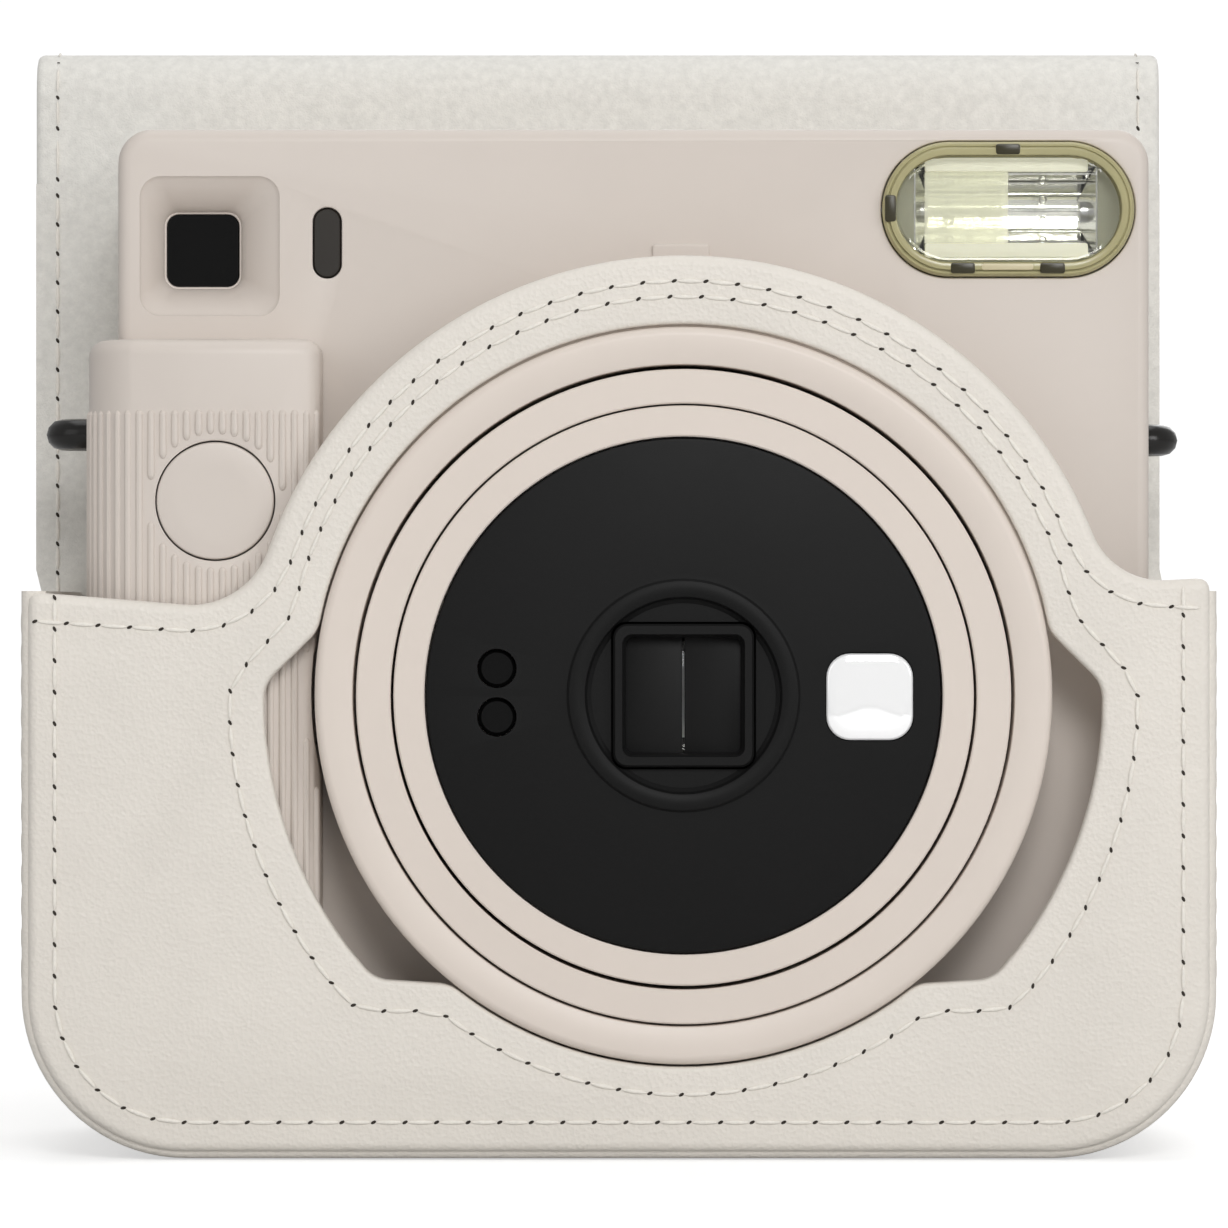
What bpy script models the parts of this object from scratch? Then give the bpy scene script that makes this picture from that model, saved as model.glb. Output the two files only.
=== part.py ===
"""Square-format instant camera in its fitted leather case, with the case's flap open.

X runs to the right, -Y is the front, +Z is up. The origin is on the floor under the case.
Lengths below are in millimetres and become metres where a mesh is made.
"""
import bpy
import bmesh
from math import asin, cos, pi, radians, sin
from mathutils import Matrix, Vector

MM = 0.001
GAP = 0.3                       # clearance between pieces that meet

# body
BODY_LEFT, BODY_RIGHT = -61.3, 66.1
BODY_BOTTOM, BODY_TOP = 6.3, 126.1
BODY_FRONT, BODY_BACK = -22.0, 20.5
SHELL_SPLIT = 2.0               # where the two shells meet, front to back
SHELL_WALL = 2.0
BODY_CORNER = 4.0
BODY_EDGE = 1.5

# lens, on an axis along Y
LENS_X, LENS_Z = 8.44, 56.3
LENS = (LENS_X, LENS_Z)
LENS_FRONT = -37.0
BLADE_PIVOT = (LENS_X + 16, LENS_Z)
DOOR_Y = (LENS_FRONT + 2.4, LENS_FRONT + 3.4)
RING_OUTER, RING_INNER = 44.8, 40.1
OUTER_BARREL = (39.8, 35.6)     # outer and inner radius
INNER_BARREL = (35.2, 31.5)
FACE_RADIUS = 31.2
DOOR_OPENING = 14.0
DOOR_RIM = (17.1, 17.4)

# grip
GRIP_LEFT, GRIP_RIGHT = -64.6, -35.9
GRIP_BOTTOM, GRIP_TOP, GRIP_FRONT, GRIP_REAR = 10.0, 99.8, -33.0, -8.0
GRIP_WALL = 2.0
BUTTON_X, BUTTON_Z, BUTTON_RADIUS = -48.6, 80.0, 7.14

# viewfinder, light sensor and flash
FINDER_X, FINDER_Z = -51.0, 111.3
FINDER_DISH, FINDER_WINDOW = 17.0, 9.2
SENSOR_X, SENSOR_Z, SENSOR_WIDE, SENSOR_TALL = -35.4, 112.0, 3.2, 8.4
FLASH_X, FLASH_Z, FLASH_WIDE, FLASH_TALL = 48.65, 116.15, 31.1, 16.6
FLASH_GLASS = (27.8, 13.1)

# film side
DOOR_LEFT, DOOR_RIGHT, DOOR_BOTTOM, DOOR_TOP = -40.6, 57.4, 14.0, 109.0
BATTERY_X, BATTERY_Y, BATTERY_RADIUS = -50.8, -9.4, 7.8
HATCH_LEFT, HATCH_RIGHT, HATCH_BOTTOM, HATCH_TOP = -58.0, -44.0, 20.0, 62.0
HINGE_Y, HINGE_Z, PIN_RADIUS = 20.9, 13.0, 0.75
SCREWS = (("screw_left", -56.0, 96.0), ("screw_right", 60.5, 96.0))
ROLLER_Z, ROLLER_Y, ROLLER_RADIUS = 114.5, 8.0, 3.5
GEAR_MODULE = 0.8
IDLER_TURN, PINION_TURN = 236.5, 200.4  # directions from roller gear to idler, and from idler to pinion

# case
CASE_LEFT, CASE_RIGHT = -72.1, 73.3
CASE_TOP = 69.0
CASE_FRONT, CASE_THICK = -36.4, 2.6
CASE_CORNER, CASE_INNER_CORNER = 20.0, 8.0
CASE_WALL = 3.0
CASE_BASE = 6.0
BACK_FRONT, BACK_REAR = 22.6, 25.2
ARCH_RADIUS, OPENING_RADIUS, WINDOW_RADIUS = 53.5, 45.3, 51.0
FLAP_LEFT, FLAP_RIGHT = -75.0, 70.8
BACK_TOP = 128.0
RISER_LENGTH, ROOF_LENGTH, FRONT_LENGTH = 12.2, 51.0, 27.0
FOLD_Y = (BACK_FRONT + BACK_REAR) / 2
FOLD_REACH = {"flap_riser": RISER_LENGTH, "flap_roof": ROOF_LENGTH, "flap_front": FRONT_LENGTH}
FLAP_THICK = 2.4
ROOF_REST, FRONT_REST = 120.0, 25.0     # bends backwards from the riser, and from the roof

for old in list(bpy.data.objects):
    bpy.data.objects.remove(old, do_unlink=True)


# ---------------------------------------------------------------- materials

def material(name, color, roughness, metallic=0.0):
    made = bpy.data.materials.new(name)
    made.use_nodes = True
    shader = made.node_tree.nodes["Principled BSDF"]
    shader.inputs["Base Color"].default_value = (*color, 1.0)
    shader.inputs["Roughness"].default_value = roughness
    shader.inputs["Metallic"].default_value = metallic
    return made


CHALK = material("chalk_plastic", (0.64, 0.57, 0.52), 0.5)
BLACK = material("black_plastic", (0.02, 0.02, 0.02), 0.5)
GLASS = material("clear_glass", (0.75, 0.8, 0.8), 0.05)
SMOKE = material("smoked_window", (0.01, 0.01, 0.01), 0.15)
AMBER = material("tinted_plastic", (0.45, 0.42, 0.22), 0.2)
MIRROR = material("mirror_metal", (0.9, 0.9, 0.9), 0.05, 1.0)
STEEL = material("steel", (0.55, 0.55, 0.56), 0.35, 1.0)
BRASS = material("brass", (0.7, 0.55, 0.25), 0.35, 1.0)
RUBBER = material("rubber", (0.03, 0.03, 0.03), 0.8)
BOARD = material("circuit_green", (0.05, 0.2, 0.1), 0.5)
FILM = material("film_paper", (0.85, 0.85, 0.83), 0.5)
CELL = material("battery_sleeve", (0.2, 0.22, 0.3), 0.4)
LEATHER = material("case_leather", (0.76, 0.72, 0.66), 0.55)


# ---------------------------------------------------------------- shape helpers

def arc(u, v, radius, start, stop, steps):
    """Points along an arc about (u, v), angles in degrees from +u towards +v."""
    turns = [radians(start + (stop - start) * i / steps) for i in range(steps + 1)]
    return [(u + radius * cos(a), v + radius * sin(a)) for a in turns]


def rounded(left, right, low, high, radius, steps=3):
    """Outline of a rectangle with round corners, anticlockwise."""
    r = min(radius, (right - left) / 2 - 0.01, (high - low) / 2 - 0.01)
    return (arc(right - r, low + r, r, -90, 0, steps) + arc(right - r, high - r, r, 0, 90, steps)
            + arc(left + r, high - r, r, 90, 180, steps) + arc(left + r, low + r, r, 180, 270, steps))


def about(x, z, wide, tall, radius, steps=3):
    return rounded(x - wide / 2, x + wide / 2, z - tall / 2, z + tall / 2, radius, steps)


PLACES = {"X": lambda u, v, w: (w, u, v), "Y": lambda u, v, w: (u, w, v), "Z": lambda u, v, w: (u, v, w)}


def finish(name, mesh_data, look, pivot=(0, 0, 0)):
    """Turn a bmesh in millimetres into an object in metres whose origin is at pivot."""
    bmesh.ops.recalc_face_normals(mesh_data, faces=mesh_data.faces)
    mesh_data.transform(Matrix.Scale(MM, 4) @ Matrix.Translation(-Vector(pivot)))
    mesh = bpy.data.meshes.new(name)
    mesh_data.to_mesh(mesh)
    mesh_data.free()
    mesh.materials.append(look)
    mesh.shade_smooth()
    mesh.set_sharp_from_angle(angle=radians(35))
    made = bpy.data.objects.new(name, mesh)
    made.location = Vector(pivot) * MM
    bpy.context.collection.objects.link(made)
    return made


def prism(name, outline, low, high, look, axis="Y", pivot=(0, 0, 0)):
    """Extrude a flat outline along an axis from low to high."""
    place = PLACES[axis]
    work = bmesh.new()
    base = [work.verts.new(place(u, v, low)) for u, v in outline]
    face = work.faces.new(base)
    grown = bmesh.ops.extrude_face_region(work, geom=[face])["geom"]
    step = Vector(place(0, 0, high - low))
    bmesh.ops.translate(work, vec=step, verts=[g for g in grown if isinstance(g, bmesh.types.BMVert)])
    return finish(name, work, look, pivot)


def turned(name, profile, centre, look, steps=32, axis="Y", pivot=(0, 0, 0)):
    """Turn a closed profile of (radius, place along the axis) about an axis through centre."""
    place = PLACES[axis]
    work = bmesh.new()
    rings = []
    for radius, along in profile:
        if radius == 0:
            rings.append([work.verts.new(place(centre[0], centre[1], along))] * steps)
            continue
        spots = arc(centre[0], centre[1], radius, 0, 360, steps)[:-1]
        rings.append([work.verts.new(place(u, v, along)) for u, v in spots])
    for here, there in zip(rings, rings[1:] + rings[:1]):
        for i in range(steps):
            j = (i + 1) % steps
            corners = list(dict.fromkeys([here[i], here[j], there[j], there[i]]))
            if len(corners) > 2:
                work.faces.new(corners)
    return finish(name, work, look, pivot)


def disc(name, centre, radius, low, high, look, steps=24, axis="Y", pivot=(0, 0, 0)):
    return turned(name, [(0, low), (radius, low), (radius, high), (0, high)], centre, look, steps, axis, pivot)


def tube(name, centre, outer, inner, low, high, look, steps=32, axis="Y", pivot=(0, 0, 0)):
    profile = [(outer, low), (outer, high), (inner, high), (inner, low)]
    return turned(name, profile, centre, look, steps, axis, pivot)


def block(name, x, y, z, look, pivot=(0, 0, 0)):
    return prism(name, [(x[0], z[0]), (x[1], z[0]), (x[1], z[1]), (x[0], z[1])], y[0], y[1], look, "Y", pivot)


def combine(target, operation, tools):
    """Cut or join hidden guide objects into target."""
    for tool in tools:
        tool.hide_render = True
        tool.display_type = "WIRE"
        step = target.modifiers.new(operation.lower(), "BOOLEAN")
        step.operation = operation
        step.object = tool
    return target


def cut(target, *tools):
    return combine(target, "DIFFERENCE", tools)


def join(target, *tools):
    return combine(target, "UNION", tools)


def ease(target, width, steps=1, angle=50):
    """Round the sharp edges of a finished piece."""
    edge = target.modifiers.new("edge", "BEVEL")
    edge.width = width * MM
    edge.segments = steps
    edge.limit_method = "ANGLE"
    edge.angle_limit = radians(angle)
    return target


def loft(name, sections, look, axis="Y", pivot=(0, 0, 0)):
    """Skin outlines with equal numbers of points, each given with its place along the axis."""
    place = PLACES[axis]
    work = bmesh.new()
    rings = [[work.verts.new(place(u, v, along)) for u, v in outline] for outline, along in sections]
    for here, there in zip(rings, rings[1:]):
        for i in range(len(here)):
            j = (i + 1) % len(here)
            work.faces.new((here[i], here[j], there[j], there[i]))
    work.faces.new(rings[0])
    work.faces.new(rings[-1])
    return finish(name, work, look, pivot)


def body_outline(inset):
    return rounded(BODY_LEFT + inset, BODY_RIGHT - inset, BODY_BOTTOM + inset, BODY_TOP - inset,
                   BODY_CORNER - inset, 4)


def gear_outline(u, v, teeth, phase):
    """Straight-sided gear teeth; phase is where one tooth points, in degrees."""
    pitch = GEAR_MODULE * teeth / 2
    root, tip, step = pitch - 1.15 * GEAR_MODULE, pitch + 0.8 * GEAR_MODULE, 360 / teeth
    spots = []
    for tooth in range(teeth):
        for radius, share in ((root, -0.27), (tip, -0.10), (tip, 0.10), (root, 0.27)):
            turn = radians(phase + (tooth + share) * step)
            spots.append((u + radius * cos(turn), v + radius * sin(turn)))
    return spots


# ---------------------------------------------------------------- shells

def make_front_shell():
    """Front half of the body: open behind, with the holes that the lens, flash and windows fill."""
    round_over = [(body_outline(BODY_EDGE), BODY_FRONT), (body_outline(BODY_EDGE * 0.3), BODY_FRONT + BODY_EDGE * 0.3),
                  (body_outline(0), BODY_FRONT + BODY_EDGE), (body_outline(0), SHELL_SPLIT - GAP / 2)]
    shell = loft("front_shell", round_over, CHALK)
    hollow = prism("front_shell_hollow", body_outline(SHELL_WALL), BODY_FRONT + SHELL_WALL, SHELL_SPLIT + 1, CHALK)
    boss = prism("finder_boss", about(FINDER_X, FINDER_Z, 19, 19, 3), BODY_FRONT + 1, BODY_FRONT + 4.5, CHALK)
    index_mark = block("index_mark", (4.7, 11.8), (BODY_FRONT - 0.6, BODY_FRONT + 1), (103.0, 111.9), CHALK)
    dish = loft("finder_dish", [(about(FINDER_X, FINDER_Z, FINDER_DISH, FINDER_DISH, 3), BODY_FRONT - 0.1),
                                (about(FINDER_X, FINDER_Z, 12.5, 12.5, 2.5), BODY_FRONT + 3)], CHALK)
    peep = prism("finder_hole", about(FINDER_X, FINDER_Z, FINDER_WINDOW + 2 * GAP, FINDER_WINDOW + 2 * GAP, 1.6),
                 BODY_FRONT, BODY_FRONT + 6, CHALK)
    lens_hole = disc("lens_hole", (LENS_X, LENS_Z), RING_INNER, BODY_FRONT - 2, BODY_FRONT + 4, CHALK, 48)
    flash_hole = prism("flash_hole", about(FLASH_X, FLASH_Z, FLASH_WIDE + 2 * GAP, FLASH_TALL + 2 * GAP, 9, 6),
                       BODY_FRONT - 1, BODY_FRONT + 4, CHALK)
    sensor_hole = prism("sensor_hole", about(SENSOR_X, SENSOR_Z, SENSOR_WIDE + 2 * GAP, SENSOR_TALL + 2 * GAP, 2),
                        BODY_FRONT - 1, BODY_FRONT + 4, CHALK)
    cut(shell, hollow)
    join(shell, boss, index_mark)
    cut(shell, dish, peep, lens_hole, flash_hole, sensor_hole)


def make_rear_shell():
    """Rear half of the body, with the film door's opening, the battery hatch and the film exit slot."""
    edge = BODY_EDGE
    round_over = [(body_outline(0), SHELL_SPLIT + GAP / 2), (body_outline(0), BODY_BACK - edge),
                  (body_outline(edge * 0.3), BODY_BACK - edge * 0.3), (body_outline(edge), BODY_BACK)]
    shell = loft("rear_shell", round_over, CHALK)
    hollow = prism("rear_shell_hollow", body_outline(SHELL_WALL), SHELL_SPLIT - 1, BODY_BACK - SHELL_WALL, CHALK)
    through = (BODY_BACK - 4, BODY_BACK + 3)
    film_hole = prism("film_hole", rounded(DOOR_LEFT, DOOR_RIGHT, DOOR_BOTTOM, DOOR_TOP, 4), *through, CHALK)
    knuckle_room = block("knuckle_room", (-31, 48), through, (HINGE_Z - 2, DOOR_BOTTOM + 1), CHALK)
    pin_hole = disc("pin_hole", (HINGE_Y, HINGE_Z), PIN_RADIUS + GAP, -34.5, 51.5, CHALK, 12, "X")
    hatch_hole = prism("hatch_hole", rounded(HATCH_LEFT, HATCH_RIGHT, HATCH_BOTTOM, HATCH_TOP, 2), *through, CHALK)
    eye_hole = prism("eye_hole", about(FINDER_X, FINDER_Z, 12.6, 12.6, 2), *through, CHALK)
    exit_slot = block("exit_slot", (LENS_X - 38, LENS_X + 38), (6.3, 9.7), (BODY_TOP - 4, BODY_TOP + 2), CHALK)
    holes = [turned(f"{name}_hole", [(0, 15), (1.1, 15), (1.1, 19.3), (1.9, 19.3), (1.9, 22), (0, 22)], (x, z), CHALK, 12)
             for name, x, z in SCREWS]
    cut(shell, hollow, film_hole, knuckle_room, pin_hole, hatch_hole, eye_hole, exit_slot, *holes)
    for name, x, z in SCREWS:
        turned(name, [(0, 13), (0.8, 13), (0.8, 19.6), (1.6, 19.6), (1.6, 20.3), (0, 20.3)], (x, z), STEEL, 12)


make_front_shell()
make_rear_shell()


# ---------------------------------------------------------------- grip

def grip_outline(inset):
    """Plan of the grip: a flat back, a rounded left side and a gently crowned front."""
    left, right, front = GRIP_LEFT + inset, GRIP_RIGHT - inset, GRIP_FRONT + inset
    side = arc(left + 9, front + 9, 9, 180, 250, 5)
    crown = [(left + 14, front), (right - 8, front)]
    corner = arc(right - 2.5, front + 3, 2.5, -80, 0, 3)
    return [(left, GRIP_REAR)] + side + crown + corner + [(right, BODY_FRONT - GAP)]


def make_grip():
    """A cover over the left of the front, wrapping round the side, with a capped top."""
    reach = [(BODY_LEFT - GAP, BODY_FRONT - GAP), (BODY_LEFT - GAP, GRIP_REAR)]
    top = [(grip_outline(0) + reach, GRIP_BOTTOM), (grip_outline(0) + reach, GRIP_TOP - 2),
           (grip_outline(0.6) + reach, GRIP_TOP - 0.6), (grip_outline(1.9) + reach, GRIP_TOP)]
    cover = loft("grip_cover", top, CHALK, "Z")
    inner = grip_outline(GRIP_WALL) + [(BODY_LEFT + 2, BODY_FRONT + 2), (BODY_LEFT + 2, GRIP_REAR - GRIP_WALL)]
    inner[0] = (inner[0][0], GRIP_REAR - GRIP_WALL)
    hollow = prism("grip_hollow", inner, GRIP_BOTTOM - 1, GRIP_TOP - 3, CHALK, "Z")
    button_hole = disc("button_hole", (BUTTON_X, BUTTON_Z), BUTTON_RADIUS + GAP, GRIP_FRONT - 2, GRIP_FRONT + 4,
                       CHALK, 32)
    ring_room = disc("ring_room", (LENS_X, LENS_Z), RING_OUTER + 2 * GAP, GRIP_FRONT - 5, BODY_FRONT + 1, CHALK, 64)
    cut(cover, hollow, button_hole, ring_room)
    disc("shutter_button", (BUTTON_X, BUTTON_Z), BUTTON_RADIUS, GRIP_FRONT - 0.1, GRIP_FRONT + 3.2, CHALK, 32)
    tube("button_spring", (BUTTON_X, BUTTON_Z), 3.0, 2.2, GRIP_FRONT + 3.5, BODY_FRONT - GAP, STEEL, 12)


make_grip()


# ---------------------------------------------------------------- lens


def make_barrels():
    """A hand-turned ring outside two barrels that slide out one after the other."""
    edge = 1.6
    turned("lens_ring", [(RING_INNER, LENS_FRONT + 0.3), (RING_INNER + 0.5, LENS_FRONT),
                         (RING_OUTER - edge, LENS_FRONT), (RING_OUTER - edge * 0.3, LENS_FRONT + edge * 0.3),
                         (RING_OUTER, LENS_FRONT + edge), (RING_OUTER, BODY_FRONT - GAP),
                         (RING_INNER, BODY_FRONT - GAP)], LENS, CHALK, 64, pivot=(LENS_X, 0, LENS_Z))
    outer, inner = OUTER_BARREL
    tube("outer_barrel", LENS, outer, inner, LENS_FRONT, -12.5, CHALK, 48)
    outer, inner = INNER_BARREL
    turned("inner_barrel", [(outer, LENS_FRONT), (outer, -13.0), (outer - 2, -13.0), (outer - 2, LENS_FRONT + 5.5),
                            (13, LENS_FRONT + 5.5), (13, LENS_FRONT + 3.9), (inner, LENS_FRONT + 3.9),
                            (inner, LENS_FRONT)], LENS, CHALK, 48)
    turned("lens_base", [(43.5, -19.7), (43.5, -6.5), (34, -6.5), (34, -8.0), (40.3, -8.0), (40.3, -19.7)],
           LENS, BLACK, 48)
    frame = prism("dark_box", about(*LENS, 73, 73, 3), -6.2, -2.0, BLACK)
    cut(frame, loft("light_path", [(about(*LENS, 52, 52, 1), -6.4), (about(*LENS, 64, 64, 1), -1.8)], BLACK))


def make_face():
    """The black face: a raised ring, a square frame with two sliding leaves, a mirror and two sensor windows."""
    low, front = LENS_FRONT + 2.1, LENS_FRONT + 0.4
    face = turned("face_plate", [(0, low), (0, front), (11.7, front), (12.3, front - 0.5), (13.6, front - 0.5),
                                 (14.4, front), (FACE_RADIUS, front), (FACE_RADIUS, low)], LENS, BLACK, 48)
    mirror = about(LENS_X + 22.6, LENS_Z - 0.15, 10.5, 10.5, 2.9)
    mirror_bed = about(LENS_X + 22.6, LENS_Z - 0.15, 11.1, 11.1, 3.2)
    spots = [("sensor_window_upper", LENS_Z + 3.3), ("sensor_window_lower", LENS_Z - 2.6)]
    square = prism("door_hole", about(*LENS, DOOR_RIM[0] + 0.6, DOOR_RIM[1] + 0.6, 2), front - 2, low + 1, BLACK)
    holes = [disc(f"{name}_hole", (LENS_X - 22.65, z), 2.4, front - 1, low + 1, BLACK, 16) for name, z in spots]
    cut(face, square, prism("mirror_bed", mirror_bed, front - 1, front + 1.1, BLACK), *holes)
    for name, z in spots:
        disc(name, (LENS_X - 22.65, z), 2.1, front + 0.6, low, SMOKE, 16)
    prism("selfie_mirror", mirror, front - 0.05, front + 0.8, MIRROR)
    rim = prism("door_frame", about(*LENS, *DOOR_RIM, 1.6), front - 0.6, low, BLACK)
    cut(rim, prism("door_way", about(*LENS, DOOR_OPENING, DOOR_OPENING, 0.8), front - 2, low + 1, BLACK))
    for name, side in (("lens_door_left", -1), ("lens_door_right", 1)):
        edges = sorted((LENS_X + side * 0.15, LENS_X + side * 8.2))
        block(name, edges, DOOR_Y, (LENS_Z - 8, LENS_Z + 8), BLACK)


def make_optics():
    """Two lens elements with the shutter between them, on the inner barrel."""
    def dome(low, bulge, radius):
        steps = [(0, low - bulge)] + [(radius * sin(radians(a)), low - bulge * cos(radians(a))) for a in (30, 60)]
        return steps + [(radius, low), (radius, low + 1.2), (0, low + 1.2)]
    turned("front_lens", dome(-31.0, 1.2, 7), LENS, GLASS, 24)
    tube("shutter_plate", LENS, 20, 5, -28.6, -27.6, BLACK, 32)
    cut(bpy.data.objects["inner_barrel"],
        disc("lens_seat", LENS, 7.3, LENS_FRONT, -30, BLACK, 24))
    disc("rear_lens", LENS, 6, -24.6, -22.6, GLASS, 24)
    leaf = arc(LENS_X, LENS_Z, 6.5, 120, 240, 8) + arc(*BLADE_PIVOT, 2.2, 270, 450, 6)
    prism("shutter_blade", leaf, -27.2, -26.6, STEEL, pivot=(BLADE_PIVOT[0], -26.9, BLADE_PIVOT[1]))


make_barrels()
make_face()
make_optics()


# ---------------------------------------------------------------- flash, viewfinder and light sensor

def make_flash():
    frame = loft("flash_bezel", [(about(FLASH_X, FLASH_Z, FLASH_WIDE - 1.2, FLASH_TALL - 1.2, 9, 6), BODY_FRONT - 1.4),
                                 (about(FLASH_X, FLASH_Z, FLASH_WIDE, FLASH_TALL, 9, 6), BODY_FRONT - 0.8),
                                 (about(FLASH_X, FLASH_Z, FLASH_WIDE, FLASH_TALL, 9, 6), BODY_FRONT + 2.4)], AMBER)
    wide, tall = FLASH_GLASS
    cut(frame, prism("flash_way", about(FLASH_X, FLASH_Z, wide, tall, 7, 6), BODY_FRONT - 3, BODY_FRONT + 4, AMBER))
    prism("flash_window", about(FLASH_X, FLASH_Z, wide - 2 * GAP, tall - 2 * GAP, 7, 6), BODY_FRONT - 1.1,
          BODY_FRONT + 0.1, GLASS)
    trough = loft("flash_reflector", [(about(FLASH_X, FLASH_Z, 23, 11.4, 0.6, 1), BODY_FRONT + 2.8),
                                      (about(FLASH_X, FLASH_Z, 23, 5, 0.6, 1), BODY_FRONT + 9.6)], MIRROR)
    cut(trough, loft("flash_hollow", [(about(FLASH_X, FLASH_Z, 22, 10.4, 0.5, 1), BODY_FRONT + 2.7),
                                      (about(FLASH_X, FLASH_Z, 21.6, 3.8, 0.5, 1), BODY_FRONT + 9.0)], MIRROR))
    disc("flash_tube", (BODY_FRONT + 6.8, FLASH_Z), 1.2, FLASH_X - 10.2, FLASH_X + 10.2, GLASS, 12, "X")
    disc("flash_capacitor", (-8.6, 106.0), 5.0, -34.0, -6.0, BLACK, 20, "X")


def make_finder():
    prism("viewfinder_window", about(FINDER_X, FINDER_Z, FINDER_WINDOW, FINDER_WINDOW, 1.3), BODY_FRONT + 3.0,
          BODY_FRONT + 4.4, SMOKE)
    barrel = prism("viewfinder_tube", about(FINDER_X, FINDER_Z, 11.6, 11.6, 1.5), BODY_FRONT + 4.9, 18.2, BLACK)
    cut(barrel, prism("finder_view", about(FINDER_X, FINDER_Z, 9.6, 9.6, 1), BODY_FRONT + 4, 20, BLACK))
    eye = prism("viewfinder_eyepiece", about(FINDER_X, FINDER_Z, 12.0, 12.0, 2), 18.6, 22.0, BLACK)
    cut(eye, loft("eye_dish", [(about(FINDER_X, FINDER_Z, 7, 7, 1), 19.8),
                               (about(FINDER_X, FINDER_Z, 10, 10, 1.5), 22.1)], BLACK))
    prism("light_sensor_window", about(SENSOR_X, SENSOR_Z, SENSOR_WIDE, SENSOR_TALL, 1.6), BODY_FRONT + 0.1,
          BODY_FRONT + 1.8, SMOKE)


make_flash()
make_finder()


# ---------------------------------------------------------------- film side

def make_film_door():
    """The rear door, hinged along its foot, with its latch, counter window and pressure spring."""
    inner, outer = BODY_BACK - SHELL_WALL, BODY_BACK
    hinge = (LENS_X, HINGE_Y, HINGE_Z)
    door = prism("film_door", rounded(DOOR_LEFT + GAP, DOOR_RIGHT - GAP, DOOR_BOTTOM + 1.2, DOOR_TOP - GAP, 3.6),
                 inner, outer, CHALK, pivot=hinge)
    knuckle = disc("door_knuckle", (HINGE_Y, HINGE_Z), 1.5, -30, 47, CHALK, 12, "X")
    web = block("door_web", (-30, 47), (outer - 1.2, outer), (HINGE_Z + 0.9, DOOR_BOTTOM + 2), CHALK)
    bore = disc("door_bore", (HINGE_Y, HINGE_Z), PIN_RADIUS + GAP, -32, 49, CHALK, 12, "X")
    latch_bed = prism("latch_bed", rounded(LENS_X - 9, LENS_X + 9, 94.5, 104.5, 2), outer - 1.1, outer + 1, CHALK)
    count_bed = prism("count_bed", about(LENS_X + 32, 30, 10, 6, 2), outer - 1.1, outer + 1, CHALK)
    join(door, knuckle, web)
    cut(door, bore, latch_bed, count_bed)
    disc("door_hinge_pin", (HINGE_Y, HINGE_Z), PIN_RADIUS, -34, 51, STEEL, 12, "X")
    prism("door_latch", rounded(LENS_X - 8.5, LENS_X + 8.5, 99, 104, 1.6), outer - 0.8, outer + 1.2, CHALK)
    prism("counter_window", about(LENS_X + 32, 30, 9.4, 5.4, 1.7), outer - 0.8, outer, SMOKE)
    prism("pressure_spring", rounded(LENS_X - 14, LENS_X + 14, 46, 66, 3), inner - 0.9, inner - GAP, STEEL)


def make_film():
    """A film cassette with its stack of sheets, and the rollers that push a sheet out of the top slot."""
    box = prism("film_cassette", rounded(LENS_X - 40.5, LENS_X + 40.5, 17, 107, 1.5), -1.6, 17.0, BLACK)
    cut(box, prism("cassette_room", rounded(LENS_X - 39, LENS_X + 39, 18.5, 105.5, 1), 0, 15.5, BLACK),
        prism("cassette_window", about(LENS_X, LENS_Z, 62, 62, 1), -3, 3, BLACK),
        block("cassette_mouth", (LENS_X - 36.5, LENS_X + 36.5), (6.9, 9.1), (104, 109), BLACK))
    prism("film_stack", rounded(LENS_X - 36, LENS_X + 36, 19.5, 104.5, 1), 3.2, 12.0, FILM)
    driven = (ROLLER_Y - ROLLER_RADIUS - 0.2, ROLLER_Z)
    idle = (ROLLER_Y + ROLLER_RADIUS + 0.2, ROLLER_Z)
    disc("eject_roller_front", driven, ROLLER_RADIUS, LENS_X - 38, LENS_X + 38, STEEL, 16, "X", (0, *driven))
    disc("eject_roller_rear", idle, ROLLER_RADIUS, LENS_X - 38, LENS_X + 38, STEEL, 16, "X", (0, *idle))
    make_gears(driven)


def make_gears(driven):
    """Motor pinion, idler and roller gear, side by side in one plane, in mesh at rest."""
    face = (50.2, 53.2)
    teeth = {"roller_gear": 18, "idler_gear": 16, "motor_pinion": 8}
    to_idler, to_pinion = IDLER_TURN, PINION_TURN
    reach = GEAR_MODULE * (teeth["roller_gear"] + teeth["idler_gear"]) / 2
    idler = (driven[0] + reach * cos(radians(to_idler)), driven[1] + reach * sin(radians(to_idler)))
    reach = GEAR_MODULE * (teeth["idler_gear"] + teeth["motor_pinion"]) / 2
    pinion = (idler[0] + reach * cos(radians(to_pinion)), idler[1] + reach * sin(radians(to_pinion)))
    idler_phase = to_idler + 180 + 180 / teeth["idler_gear"]
    step = 360 / teeth["idler_gear"]
    offset = (idler_phase - to_pinion + step / 2) % step - step / 2
    pinion_phase = to_pinion + 180 + 180 / teeth["motor_pinion"] - offset * teeth["idler_gear"] / teeth["motor_pinion"]
    for name, centre, phase in (("roller_gear", driven, to_idler), ("idler_gear", idler, idler_phase),
                                ("motor_pinion", pinion, pinion_phase)):
        prism(name, gear_outline(*centre, teeth[name], phase), *face, BRASS, "X", (face[0], *centre))
    disc("motor", pinion, 5.8, 34.0, 49.6, STEEL, 20, "X")


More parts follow.
